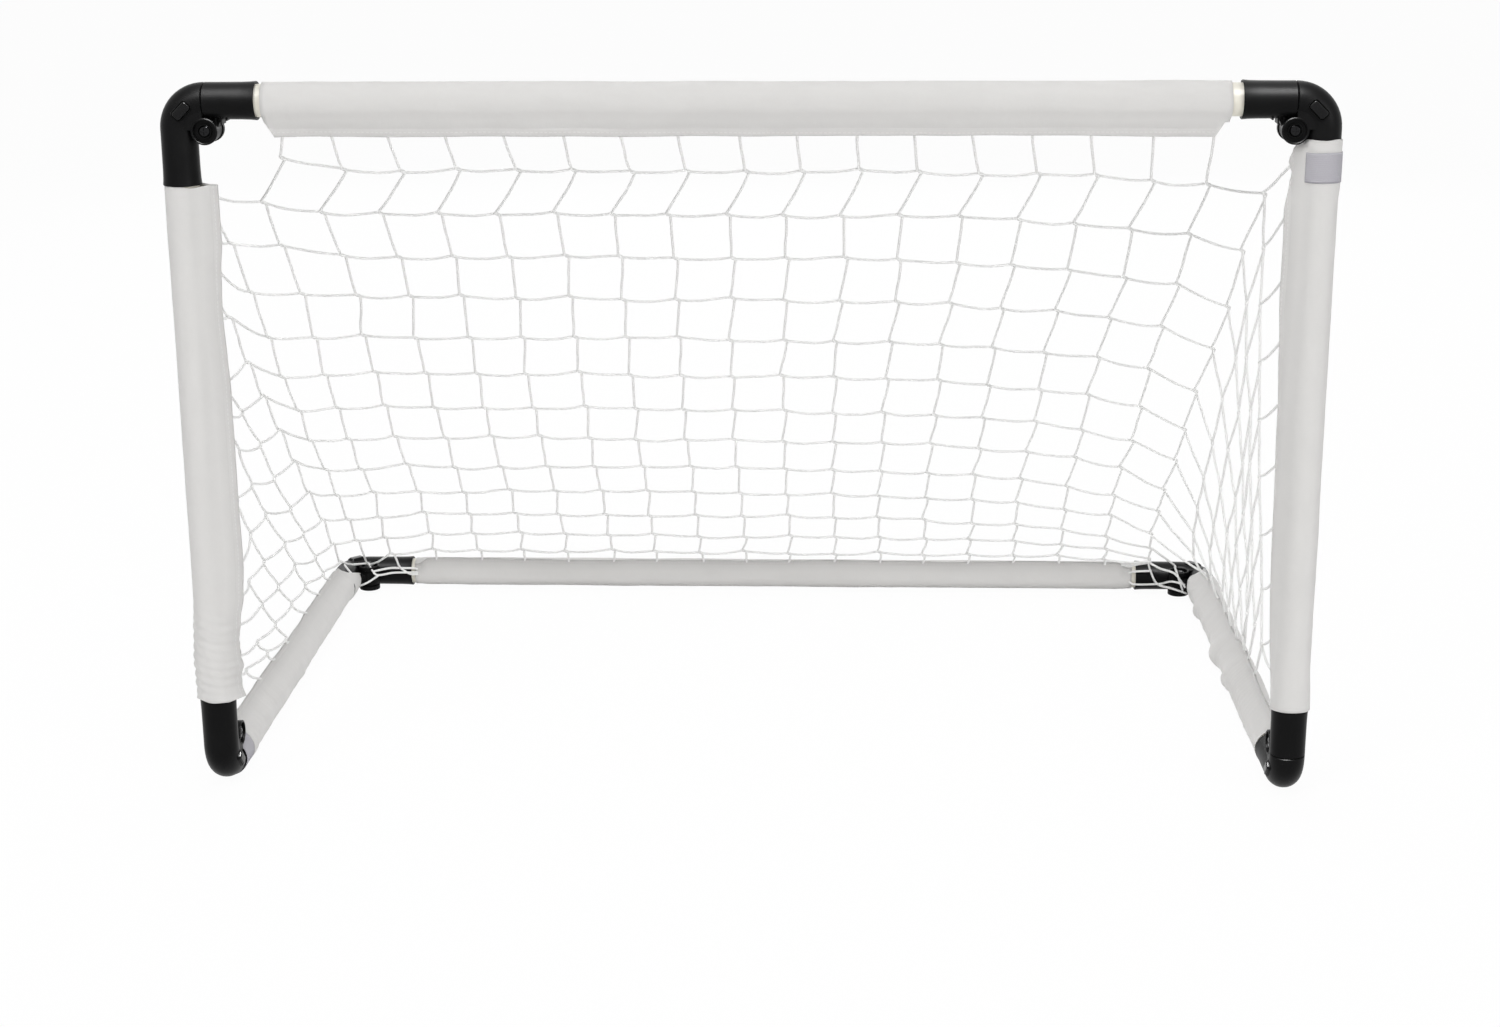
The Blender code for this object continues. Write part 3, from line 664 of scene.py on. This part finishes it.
def tubeMesh(start, way, length):
    out, bore = tubeLook["radius"], tubeLook["radius"] - tubeLook["wall"]
    near, far, edge = tubeLook["stop"], length - tubeLook["stop"], tubeLook["round"]
    profile = [
        (out - edge, near), (out, near + edge), (out, far - edge), (out - edge, far),
        (bore + 0.0002, far), (bore, far - edge), (bore, near + edge), (bore + 0.0002, near),
    ]
    side = yAxis if abs(way.x) > 0.5 else xAxis
    return solid(lambda shape: shape.turned(start, way, side, profile, tubeLook["sides"]))


for runName, (start, way, length, body) in runs.items():
    obj = showPiece(runName + "Tube", tubeMesh(start, way, length), tubeIvory)
    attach(obj, body)
    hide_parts(body + "_tube")
print("tubes made")


# sewn sleeves
def smooth(t):
    t = min(1.0, max(0.0, t))
    return t * t * (3 - 2 * t)


def between(marks, s):
    # value at s along a row of (place, value) marks, eased between them
    if s <= marks[0][0]:
        return marks[0][1]
    for (a, low), (b, high) in zip(marks, marks[1:]):
        if s <= b:
            return low + (high - low) * smooth((s - a) / max(b - a, 1e-9))
    return marks[-1][1]


sewing = {
    "roundSteps": 34,           # round the tube
    "flapSteps": 9,             # across each side of the flap
    "flapHalf": 0.0007,         # half the flap's thickness
    "thickness": 0.0005,        # of the cloth
    "tongueBack": 0.014,        # a tongue begins this far from the sleeve's end
}


def flapWays(look, s):
    # the way that the flap points, and the way square to it, at s along the tube
    way, flapWay = runs[look["run"]][1], look["flapWay"].normalized()
    turn = math.radians(between(look["turn"], s))
    out = flapWay * math.cos(turn) + way.cross(flapWay) * math.sin(turn)
    return out, way.cross(out)


def flapSway(look, s):
    # how far the flap hangs to one side
    broad = noise.noise(Vector((s * 9, 0.3, look["seed"])))
    return broad * look["sway"] + noise.noise(Vector((s * 34, 0.7, look["seed"]))) * look["sway"] * 0.35


def roundTube(radius, first, steps):
    # points round the tube, from one side of the flap to the other
    turns = [first + (2 * math.pi - 2 * first) * k / steps for k in range(steps + 1)]
    return [(radius * math.cos(a), radius * math.sin(a)) for a in turns]


def sleeveSection(look, s, radius):
    # a cut across the cloth: how far each point lies towards the flap, and beside it
    flapSteps, roundSteps = sewing["flapSteps"], sewing["roundSteps"]
    if "arc" in look:           # a patch that leaves the flap free
        return roundTube(radius, math.radians(look["arc"]), 2 * flapSteps + roundSteps)
    reach = max(between(look["flap"], s), radius + 0.0012)
    sewn = min(max(radius * 1.45, 0.019), reach - 0.0002)
    side = [(reach + (sewn - reach) * k / flapSteps, sewing["flapHalf"]) for k in range(flapSteps)]
    around = roundTube(radius, math.acos(min(0.999, radius / sewn)), roundSteps)
    return side + around + [(d, -h) for d, h in reversed(side)]


def clothSwell(look, s, run, angle):
    # how far the cloth stands off its tube: soft folds, fine creases, pleats and bulges
    seed = look["seed"]
    soft = noise.noise(Vector((s * 17 + seed, run * 30, seed * 3.1)))
    fine = noise.noise(Vector((s * 60 + run * 26, run * 90 - s * 20, seed * 7.7)))
    uneven = noise.noise(Vector((s * 40, run * 55, seed)))
    swell = (soft * 0.5 + 0.5) * look["swell"] + max(0.0, fine) * look["fine"]
    pleat = math.sin(s * 2 * math.pi / 0.0078 + 2.6 * math.sin(run * 75 + seed) + soft * 4)
    swell += between(look["ripple"], s) * (0.5 + 0.5 * pleat) * (0.55 + 0.45 * uneven)
    for place, side, size, length in look["bulges"]:
        swell += size * math.exp(-((s - place) / length) ** 2 - ((angle - side) / 42) ** 2)
    return swell


def makeSleeve(name, look):
    # a strip of cloth round a tube, its long edges sewn together as a flap
    start, way, _, body = runs[look["run"]]
    low, high, seed, back = look["from"], look["to"], look["seed"], sewing["tongueBack"]
    stations = max(8, int((high - low) / look["step"]))
    sheetWidth = 0
    points, maps = [], []
    for i in range(stations + 1):
        s = low + (high - low) * i / stations
        radius = between(look["radius"], s)
        section = sleeveSection(look, s, radius)
        out, across = flapWays(look, s)
        run = 0.0
        for k, (d, h) in enumerate(section):
            if k:
                run += math.hypot(d - section[k - 1][0], h - section[k - 1][1])
            angle = math.degrees(math.atan2(h, d)) % 360
            onFlap = smooth((d - radius) / 0.008)
            away = (out * d + across * h).normalized()
            spot = start + way * s + out * d + across * h
            spot += away * clothSwell(look, s, run, angle) * (1 - onFlap)
            spot += across * flapSway(look, s) * onFlap
            hem = noise.noise(Vector((s * 24, 4.1, seed))) * look["hemWave"]
            spot += out * hem * onFlap
            if i in (0, stations):
                endWave = noise.noise(Vector((run * 60, 2.2, seed + i))) * look["endWave"]
                spot += way * endWave
            if "tongue" in look and s > high - back:
                side, size, width = look["tongue"]
                share = smooth((s - high + back) / back) * math.exp(-((angle - side) / width) ** 2)
                spot += way * size * share
            if "floor" in look:
                spot.z = max(spot.z, look["floor"])
            points.append(spot)
            maps.append((s, run))
        sheetWidth = max(sheetWidth, run)
    count = len(section)
    faces = []
    for i in range(stations):
        for a in range(i * count, (i + 1) * count - 1):
            faces.append((a, a + 1, a + count + 1, a + count))
    mesh = makeMesh(name, points, faces, [(s, min(run, sheetWidth - run)) for s, run in maps])
    mesh.shade_smooth()
    isBand = name.endswith("Band")
    obj = showPiece(name, mesh, bandCloth if isBand else sleeveCloth)
    layers = obj.modifiers.new("cloth", "SOLIDIFY")
    layers.thickness, layers.offset = sewing["thickness"], -1.0
    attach(obj, body)
    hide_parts(body + ("_band" if isBand else "_sleeve"))
    # the flat cut narrows where the flap is cut away; here its widest width and its length are given
    flat = (round(sheetWidth, 3), round(high - low, 3))
    body + "_tube"
    print("sleeve", name, flat)


# what a sleeve has unless its own values say otherwise
plainCloth = {
    "step": 0.0035,             # from one cut across it to the next
    "fine": 0.0003,             # height of its fine creases
    "ripple": [(0, 0)],         # of the gathers round the tube
    "sway": 0.0022,             # of the flap, to and fro
    "hemWave": 0.0006,
    "endWave": 0.0006,
    "turn": [(0, 0)],           # degrees that the flap leans round the tube
    "bulges": [],               # place, side, size and length of each
}
onTube = 0.0136                 # radius of the cloth where it lies on its tube
sleeves = {
    "crossbarSleeve": {
        "flapWay": -zAxis, "from": 0.0658, "to": spanX - 0.0690, "seed": 1.3,
        "radius": [(0, onTube)],
        "flap": [(0.0660, 0.0158), (0.0725, 0.0274), (0.300, 0.0272), (0.600, 0.0266),
                 (spanX - 0.0793, 0.0274), (spanX - 0.0725, 0.0165)],
        "swell": 0.0008, "sway": 0.0025,
    },
    "rearBarSleeve": {
        "flapWay": zAxis - yAxis, "from": 0.0668, "to": spanX - 0.0672, "seed": 2.9,
        "radius": [(0.0668, 0.0129), (0.082, onTube), (spanX - 0.082, onTube), (spanX - 0.0672, 0.0129)],
        "flap": [(0.0700, 0.0142), (0.0820, 0.0270), (0.30, 0.0262), (0.62, 0.0268),
                 (spanX - 0.0830, 0.0272), (spanX - 0.0710, 0.0142)],
        "swell": 0.0007, "floor": 0.0003,
    },
    "leftUprightSleeve": {
        "flapWay": xAxis, "from": 0.0640, "to": spanY - 0.0618, "seed": 4.2,
        "radius": [(0.0664, onTube), (0.395, onTube + 0.0001), (0.420, 0.0148), (0.447, 0.0158),
                   (0.457, 0.0150), (0.468, 0.0151), (0.479, 0.0160)],
        "flap": [(0.0664, 0.0268), (0.106, 0.0271), (0.130, 0.0255), (0.165, 0.0243), (0.200, 0.0258),
                 (0.227, 0.0268), (0.366, 0.0275), (0.393, 0.0262), (0.415, 0.0222), (0.432, 0.0198),
                 (0.445, 0.0204), (0.452, 0.0226), (0.460, 0.0200), (0.469, 0.0204), (0.479, 0.0232)],
        "ripple": [(0.390, 0.0), (0.425, 0.0019), (0.462, 0.0021), (0.476, 0.0006)],
        "step": 0.0014, "swell": 0.0008, "sway": 0.0026, "endWave": 0.0036,
    },
    "rightUprightSleeve": {
        "flapWay": -xAxis, "from": 0.0289, "to": spanY - 0.0602, "seed": 6.8,
        "radius": [(0.0289, 0.0147), (0.036, 0.0145), (0.062, 0.0145), (0.076, onTube), (0.440, onTube),
                   (0.474, 0.0151), (0.484, 0.0153)],
        "flap": [(0.0300, 0.0160), (0.036, 0.0205), (0.046, 0.0240), (0.055, 0.0212), (0.062, 0.0226),
                 (0.085, 0.0256), (0.140, 0.0250), (0.190, 0.0237), (0.239, 0.0222), (0.286, 0.0215),
                 (0.330, 0.0208), (0.430, 0.0205), (0.470, 0.0172), (0.484, 0.0160)],
        "turn": [(0.10, 0), (0.30, 14), (0.46, 38)],
        "swell": 0.0008, "endWave": 0.0022,
    },
    "leftSideSleeve": {
        "flapWay": zAxis, "from": 0.0456, "to": spanY - 0.0560, "seed": 8.1,
        "radius": [(0.0456, 0.0149), (0.058, 0.0151), (0.066, onTube), (spanY - 0.068, onTube),
                   (spanY - 0.060, 0.0151), (spanY - 0.056, 0.0150)],
        "flap": [(0.0456, 0.0275), (0.200, 0.0265), (0.330, 0.0272), (0.448, 0.0262), (0.472, 0.0225),
                 (0.4845, 0.0165)],
        "ripple": [(0.05, 0.0005), (0.12, 0.0002), (0.45, 0.0002), (0.50, 0.0006)],
        "bulges": [(0.110, 70, 0.0016, 0.012), (0.165, 80, 0.0014, 0.014), (0.245, 100, 0.0012, 0.010)],
        "step": 0.0018, "swell": 0.0010, "fine": 0.0007, "sway": 0.0030, "endWave": 0.0010,
        "floor": 0.0003, "tongue": (84, 0.031, 38),
    },
    "rightSideSleeve": {
        "flapWay": zAxis, "from": 0.0672, "to": spanY - 0.0400, "seed": 9.7,
        "radius": [(0.0672, onTube), (0.150, onTube + 0.0003), (spanY - 0.068, onTube),
                   (spanY - 0.060, 0.0151), (spanY - 0.040, 0.0150)],
        "flap": [(0.0672, 0.0165), (0.078, 0.0272), (0.200, 0.0275), (0.300, 0.0255), (0.480, 0.0265),
                 (0.496, 0.0180)],
        "ripple": [(0.10, 0.0003), (0.15, 0.0012), (0.21, 0.0012), (0.26, 0.0004)],
        "bulges": [(0.305, 262, 0.0058, 0.017), (0.238, 258, 0.0034, 0.010), (0.438, 252, 0.0040, 0.0045),
                   (0.180, 300, 0.0014, 0.014)],
        "step": 0.0018, "swell": 0.0013, "fine": 0.0009, "sway": 0.0034, "endWave": 0.0012,
        "floor": 0.0003, "tongue": (300, 0.004, 24),
    },
    "rightUprightBand": {
        "flapWay": -xAxis, "from": 0.0381, "to": 0.0604, "seed": 5.5,
        "radius": [(0, 0.0154)], "arc": 34,
        "step": 0.0016, "swell": 0.0003, "fine": 0.0001, "sway": 0.0,
    },
    "leftSideBand": {
        "flapWay": zAxis, "from": 0.0208, "to": 0.0452, "seed": 7.4,
        "radius": [(0, 0.0151)],
        "flap": [(0.0208, 0.0165), (0.026, 0.0168), (0.036, 0.0190), (0.0452, 0.0275)],
        "step": 0.0016, "swell": 0.0003, "fine": 0.0001, "sway": 0.0008, "floor": 0.0003,
    },
}
for name, own in sleeves.items():
    runName = name.replace("Sleeve", "").replace("Band", "")
    sleeves[name] = {**plainCloth, **own, "run": runName}
    makeSleeve(name, sleeves[name])


# knotted net
net = {
    "cord": 0.00110,            # radius
    "knot": 0.00145,
    "knotShift": 0.0021,        # a knot is this long each way, on a slant
    "sides": 6,
    "slack": 0.0016,
    # for each row of knots: how far down the slope, where its last knot lies, the mesh
    # and how far its right end hangs
    "rowsDown": [0, 0.0465, 0.1085, 0.1735, 0.2395, 0.3055, 0.3665, 0.4265, 0.481, 0.535, 0.582, 0.627,
                 0.667, 0.701, 0.7188],
    "rightEdge": [0.3926, 0.400, 0.395, 0.395, 0.390, 0.386, 0.384, 0.383, 0.379, 0.376, 0.375, 0.377,
                  0.378, 0.378, 0.378],
    "pitch": [0.0442, 0.0445, 0.0460, 0.0458, 0.0455, 0.0455, 0.0455, 0.0454, 0.0451, 0.0448, 0.0446,
              0.0448, 0.0448, 0.0448, 0.0448],
    "rightDrop": [0, 0.034, 0.056, 0.078, 0.081, 0.088, 0.094, 0.095, 0.090, 0.080, 0.074, 0.062, 0.045,
                  0.015, 0],
    # how far the two columns next to the left edge hang below their rows, by row
    "leftDrop": {
        -1: [(3, -0.0175), (4, -0.0055), (6, 0.007), (9, 0.008), (12, 0.017)],
        0: [(3, -0.0145), (4, -0.005), (6, 0.006), (13, 0.007)],
    },
    # the left edge, where the back meets the side, hangs a little below the slanting line
    "leftEdgeX": -0.4335,
    "leftEdge": {
        5: (-0.142, 0.363), 6: (-0.093, 0.313), 7: (-0.046, 0.273), 8: (0.007, 0.229), 9: (0.055, 0.188),
        10: (0.110, 0.143), 11: (0.159, 0.102), 12: (0.199, 0.064), 13: (0.230, 0.036),
    },
    "topEnd": 0.3484,           # where its last strand hangs from the crossbar
    "sag": 0.010,
    "jitter": 0.0017,
    "sewnIn": 0.0018,           # a strand's end lies this deep in its flap
    "longestRow": 12,           # a row of a side net has fewer knots than this
    "longestTie": 0.13,         # from a knot down to the side tube's flap
}
rollDice = random.Random(41)
netTop = Vector((0, gy, gz - 0.0270))
netLow = Vector((0, rearY - 0.0192, lowZ + 0.0192))
netLength = (netLow - netTop).length
netDown = (netLow - netTop).normalized()
netOut = netDown.cross(xAxis).normalized()
lastRow, lastColumn = 14, 17
barEnd = 0.350                  # the flaps of both bars end here


def stray(size):
    # a small random shift
    return Vector([rollDice.uniform(-1, 1) for _ in range(3)]) * size


def sewnSpot(name, s):
    # where a strand is sewn into a sleeve's flap, at s along its tube
    look = sleeves[name]
    out, across = flapWays(look, s)
    start, way = runs[look["run"]][:2]
    depth = between(look["flap"], s) - net["sewnIn"]
    return start + way * s + out * depth + across * flapSway(look, s)


class Cords(Shape):
    # strands and knots gathered into one mesh, mapped along and round each strand
    def __init__(self):
        super().__init__()
        self.maps = []

    def ring(self, centre, ahead, radius, run, turn=0.0):
        sides = net["sides"]
        self.maps += [(run, k / sides) for k in range(sides)]
        side = ahead.cross(zAxis if abs(ahead.z) < 0.9 else xAxis).normalized()
        return circle(centre, side, ahead.cross(side), radius, sides, turn)

    def strand(self, spots):
        run = rollDice.random()
        rings = []
        for i, spot in enumerate(spots):
            ahead = spots[min(i + 1, len(spots) - 1)] - spots[max(i - 1, 0)]
            if i:
                run += (spot - spots[i - 1]).length
            rings.append(self.ring(spot, ahead.normalized(), net["cord"], run))
        self.skin(rings)

    def run(self, a, b, slack=None, hang=-zAxis, steps=5):
        # a strand between two points, hanging a little
        slack = net["slack"] * (0.4 + rollDice.random()) if slack is None else slack
        twist = stray(net["slack"]) * 0.35
        spots = []
        for k in range(steps + 1):
            t = k / steps
            bow = hang * slack + twist * math.sin(t * math.pi * 2)
            spots.append(a.lerp(b, t) + bow * 4 * t * (1 - t))
        self.strand(spots)

    def knot(self, a, b):
        # a short thick lump from one end of the knot to the other
        ahead = (b - a).normalized()
        levels = [(-0.12, 0.45), (0.05, 0.92), (0.35, 1.08), (0.65, 0.98), (0.92, 0.95), (1.12, 0.45)]
        rings = []
        for share, size in levels:
            rings.append(self.ring(a.lerp(b, share), ahead, net["knot"] * size, share * 0.006, share))
        self.skin(rings)

    def piece(self, name):
        mesh = makeMesh(name, self.points, self.faces, self.maps)
        obj = showPiece(name, shadeSoft(mesh, 80), netTwine)
        return obj


def curved(spots, steps=4):
    # a smooth curve through the given points
    line = [spots[0] * 2 - spots[1], *spots, spots[-1] * 2 - spots[-2]]
    path = []
    for a, b, c, d in zip(line, line[1:], line[2:], line[3:]):
        lead, tail = (c - a) / 2, (d - b) / 2
        for k in range(steps):
            t = k / steps
            path.append(b * (2 * t**3 - 3 * t**2 + 1) + lead * (t**3 - 2 * t**2 + t)
                        + c * (3 * t**2 - 2 * t**3) + tail * (t**3 - t**2))
    return path + [spots[-1]]


def onBackNet(x, down):
    sag = net["sag"] * math.sin(math.pi * min(1, max(0, down / netLength)))
    return netTop + xAxis * x + netDown * down - netOut * sag


def firstRow(column):
    return {-2: 5, -1: 3}.get(column, 1)


def backKnot(column, row):
    wobble = stray(net["jitter"])
    wobble.y *= 0.3
    if column == -2:
        return Vector((net["leftEdgeX"], *net["leftEdge"][row])) + wobble * 0.4
    pitch, down = net["pitch"][row], net["rowsDown"][row]
    x = net["rightEdge"][row] - (lastColumn - max(column, 0)) * pitch
    if column == -1:
        x -= pitch * (0.94 - 0.027 * (row - 3))
    if column in net["leftDrop"]:
        down += between(net["leftDrop"][column], row)
    down += net["rightDrop"][row] * math.exp(-(lastColumn - column) ** 0.85 / 1.9)
    return onBackNet(x, min(down, netLength - 0.004)) + wobble


knots = {}
for column in range(-2, lastColumn + 1):
    for row in range(firstRow(column), lastRow):
        knots[column, row] = backKnot(column, row)
    if column >= 0:
        x = net["rightEdge"][lastRow] - (lastColumn - column) * net["pitch"][lastRow]
        x = min(max(x, -barEnd), barEnd) + rollDice.uniform(-0.002, 0.002)
        knots[column, lastRow] = sewnSpot("rearBarSleeve", x + gx)
    if 0 <= column < lastColumn:
        x = max(net["topEnd"] - (lastColumn - 1 - column) * net["pitch"][0], -barEnd)
        x += rollDice.uniform(-0.002, 0.002)
        knots[column, 0] = sewnSpot("crossbarSleeve", x + gx)
knots[-1, 13] = Vector((-0.410, rearY - 0.0155, lowZ + 0.0115))
knots[0, lastRow] = Vector((-0.3766, rearY - 0.0163, lowZ + 0.0068))
slant = (xAxis * 0.82 + netDown * 0.57).normalized() * net["knotShift"]

backCords = Cords()
for (column, row), spot in sorted(knots.items()):
    inside = 0 < row < lastRow
    if inside:
        backCords.knot(spot - slant, spot + slant)
    below, right = knots.get((column, row + 1)), knots.get((column + 1, row))
    if below:
        finish = below - slant if row + 1 < lastRow else below
        backCords.run(spot + slant if inside else spot, finish)
    if right and inside:
        backCords.run(spot + slant, right - slant)

# the ends of its rows are sewn to the uprights' flaps, and its lowest strands go over the
# rear fittings and in under the rear bar's sleeve
flapTies = [
    (0, 2, 0.482), (-1, 3, 0.467), (-1, 3, 0.449), (-1, 4, 0.425), (-2, 5, 0.402), (-2, 5, 0.390),
    (-2, 6, 0.338),
]
for column, row, z in flapTies:
    end = sewnSpot("leftUprightSleeve", gz - z)
    backCords.run(knots[column, row] - slant, end, 0.004 if row == 4 else 0.002)
backCords.run(knots[lastColumn, 1] - slant, sewnSpot("rightUprightSleeve", gz - 0.507), 0.001)

# strands that lie on the rear fittings: for each point how far in from the side tube's axis,
# how far forward of the rear bar's, and how high
rearStrands = {
    -1: [
        [(0.0203, 0.0155, 0.0262), (0.0278, 0.0335, 0.0240), (0.0333, 0.0340, 0.0200),
         (0.0460, 0.0190, 0.0180), (0.0620, 0.0166, 0.0176), (0.0680, 0.0138, 0.0170),
         (0.0720, 0.0102, 0.0160)],
        [(0.0537, 0.0163, 0.0215), (0.0620, 0.0158, 0.0160), (0.0680, 0.0138, 0.0150),
         (0.0720, 0.0102, 0.0145)],
        [(0.0278, 0.0338, 0.0236), (0.0420, 0.0215, 0.0235), (0.0537, 0.0163, 0.0222),
         (0.0650, 0.0142, 0.0214), (0.0690, 0.0118, 0.0202), (0.0725, 0.0085, 0.0185)],
        [(0.0333, 0.0342, 0.0196), (0.0225, 0.0350, 0.0125), (0.0130, 0.0350, 0.0085)],
        [(0.0010, 0.0410, 0.0330), (0.0045, 0.0450, 0.0300), (0.0090, 0.0480, 0.0260)],
    ],
    1: [
        [(0.0523, 0.0190, 0.0340), (0.0493, 0.0160, 0.0245), (0.0423, 0.0170, 0.0110),
         (0.0300, 0.0345, 0.0120), (0.0150, 0.0350, 0.0070)],
        [(0.0500, 0.0185, 0.0330), (0.0400, 0.0240, 0.0290), (0.0273, 0.0335, 0.0270),
         (0.0165, 0.0350, 0.0130)],
        [(0.0725, 0.0090, 0.0195), (0.0685, 0.0128, 0.0216), (0.0640, 0.0158, 0.0236),
         (0.0493, 0.0162, 0.0243)],
        [(0.0725, 0.0100, 0.0125), (0.0685, 0.0138, 0.0112), (0.0640, 0.0166, 0.0102),
         (0.0405, 0.0172, 0.0110), (0.0300, 0.0340, 0.0190), (0.0170, 0.0352, 0.0160)],
    ],
}
# this one comes down from the net's right edge
overElbow = [(0.0262, 0.0120, 0.0300), (0.0255, 0.0200, 0.0290), (0.0240, 0.0345, 0.0240),
             (0.0190, 0.0352, 0.0100)]


def rearSpots(side, marks):
    return [Vector((side * (gx - inward), rearY - forward, up)) for inward, forward, up in marks]


backCords.strand(curved([knots[lastColumn, 11] + slant, *rearSpots(1, overElbow)]))
for side, strands in rearStrands.items():
    for marks in strands:
        backCords.strand(curved(rearSpots(side, marks)))
backNet = backCords.piece("backNet")
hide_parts("back_net")
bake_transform(backNet)
print("back net:", len(backNet.data.polygons), "faces")

footZ = lowZ + flapReach - 0.0005


def leftPlace(row, number, edge):
    # rows run forward, nearly level; of the lowest, only the front part hangs free
    if row == lastRow:
        return Vector((-gx, 0.262 - 0.074 * number, 0.006 + 0.010 * number)), 3 < number < 7
    onward, last = min(number - 1, 1), max(number - 2, 0)
    y = edge.y - (0.115 - 0.0055 * (row - 8)) - 0.080 * onward - 0.066 * last
    z = edge.z + 0.014 + 0.016 * onward + 0.003 * last
    nearest = -0.205 if row < 10 else -0.165
    return Vector((-between([(7, 0.420), (11, gx)], row), y, z)), y > nearest and z > footZ + 0.002


def rightPlace(row, number, edge):
    # rows run down, and soon hang under one another
    settled = -0.152 + 0.032 * (row - 1)
    y = edge.y + (settled - edge.y) * (1 - math.exp(-number / 1.2))
    z = edge.z - (0.051 - 0.0022 * row) * number
    share = min(1, max(0, (edge.z - z) / (edge.z - footZ)))
    x = edge.x + (gx - 0.002 - edge.x) * share ** 0.75
    return Vector((x, y, z)), z > footZ + 0.012


def sideNet(side, look):
    # rows run on from the back net's edge to the flaps of the upright and of the side tube
    cords = Cords()
    spots, lastOf = {}, {}
    for row, edge in sorted(look["edge"].items()):
        spots[0, row] = edge
        lastOf[row] = 0
        for number in range(1, net["longestRow"]):
            spot, inside = look["place"](row, number, edge)
            spot += stray(net["jitter"])
            if inside:
                spots[number, row] = spot
                lastOf[row] = number
    shift = Vector((0, -0.45, -0.9)).normalized() * net["knotShift"] * 0.8

    def toFoot(spot):
        y = min(max(spot.y + max(0.004, spot.z - footZ) * look["footLean"], gy + 0.070), rearY - 0.074)
        end = sewnSpot(side + "SideSleeve", y - gy)
        if (end - spot).length < net["longestTie"]:
            cords.run(spot + shift, end, 0.002)

    for (number, row), spot in sorted(spots.items()):
        onward, below = spots.get((number + 1, row)), spots.get((number, row + 1))
        if onward:
            cords.run(spot + shift if number else spot, onward - shift)
        if not number:
            continue
        cords.knot(spot - shift, spot + shift)
        if below:
            cords.run(spot + shift, below - shift)
        else:
            toFoot(spot)
    for number, row, z in look["ties"](spots, lastOf):
        spot = spots[number, row]
        end = sewnSpot(side + "UprightSleeve", gz - z)
        cords.run(end, spot - shift, min(0.007, (end - spot).length * 0.12), Vector((0, 0.75, -0.65)), 8)
    if side == "right":
        for row, number in lastOf.items():
            if number or row < 11:
                toFoot(spots[number, row])
    obj = cords.piece(side + "Net")
    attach(obj, side + "_upright")
    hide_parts(side + "_net")
    anchor = (-gx if side == "left" else gx, gy + 0.016, 0)
    side + "_base_fold"
    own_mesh(obj)
    print(obj.name, len(obj.data.polygons), "faces")


def leftTies(spots, lastOf):
    heights = {
        7: (0.328, 0.310), 8: (0.294,), 9: (0.245,), 10: (0.189,), 11: (0.162,), 12: (0.137,), 13: (0.111,),
        14: (0.097,),
    }
    return [(lastOf[row], row, z) for row, places in heights.items() for z in places]


def rightTies(spots, lastOf):
    last = lastOf[1]
    return [(number, 1, spots[number, 1].z + 0.042) for number in range(1, last + 1)] + [(last, 1, 0.101)]


leftKnots = {row: knots[-2, row] for row in range(7, lastRow)}
leftKnots[lastRow] = Vector((-gx, 0.262, 0.004))        # the lowest row starts here
rightKnots = {row: knots[lastColumn, row] for row in range(1, 13)}
# footLean: how far back a strand goes for each metre that it drops to the side tube
# lean: the slant of the way in which the net folds together
sideNets = {
    "left": {"edge": leftKnots, "place": leftPlace, "ties": leftTies, "footLean": 2.2, "lean": 0.0},
    "right": {"edge": rightKnots, "place": rightPlace, "ties": rightTies, "footLean": 1.2, "lean": -0.08},
}
for side, look in sideNets.items():
    sideNet(side, look)


# studio and camera
studio = {
    "lens": 59.7246,
    "spot": (0.08322, -2.14554, 0.77267),
    "yaw": 2.49146, "pitch": 16.03903, "roll": -0.35971,
}
cameraData = bpy.data.cameras.new("photoCamera")
cameraData.lens, cameraData.sensor_width = studio["lens"], 36
cameraData.clip_start, cameraData.clip_end = 0.05, 60
camera = bpy.data.objects.new("photoCamera", cameraData)
camera.matrix_world = (
    Matrix.Translation(studio["spot"])
    @ Matrix.Rotation(math.radians(studio["yaw"]), 4, "Z")
    @ Matrix.Rotation(math.radians(90 - studio["pitch"]), 4, "X")
    @ Matrix.Rotation(math.radians(studio["roll"]), 4, "Z")
)
bpy.context.scene.collection.objects.link(camera)
bpy.context.scene.camera = camera

floorHalf = 9
floorCorners = [(sx * floorHalf, sy * floorHalf, 0) for sx, sy in ((-1, -1), (1, -1), (1, 1), (-1, 1))]
studioFloor = showPiece("studioFloor", makeMesh("studioFloor", floorCorners, [(0, 1, 2, 3)]), studioWhite())

lamps = {
    "keyLamp": ((-2.4, -3.8, 3.6), (0.0, 0.0, 0.30), 1.9, 101),
    "fillLamp": ((3.6, -3.4, 1.7), (0.0, 0.0, 0.25), 2.2, 69),
    "topLamp": ((0.1, 0.7, 2.7), (0.0, 0.1, 0.2), 2.2, 21),
    "rearLamp": ((0.0, 2.6, 1.4), (0.0, 0.0, 0.3), 2.4, 20),
    "glossLamp": ((0.0, -1.35, 2.3), (0.0, -0.2, 0.4), 1.1, 540),
}
for lampName, (spot, target, size, power) in lamps.items():
    lampData = bpy.data.lights.new(lampName, "AREA")
    lampData.energy, lampData.size, lampData.shape = power, size, "SQUARE"
    lamp = bpy.data.objects.new(lampName, lampData)
    lamp.location = spot
    lamp.visible_diffuse = lampName != "glossLamp"      # this one only shines on smooth surfaces
    lamp.rotation_euler = (Vector(target) - Vector(spot)).to_track_quat("-Z", "Y").to_euler()
    bpy.context.scene.collection.objects.link(lamp)

world = bpy.data.worlds.new("studioSky")
sky = Nodes(world)
skyLight = sky.node("Background", Color=(1, 1, 1, 1), Strength=0.35)
skyPaper = sky.node("Background", Color=(1, 1, 1, 1), Strength=1.0)
sky.node("OutputWorld", Surface=sky.mixShader(sky.seenShare(), skyLight, skyPaper))
bpy.context.scene.world = world
bpy.context.scene.view_settings.view_transform = "Standard"
print("studio made")
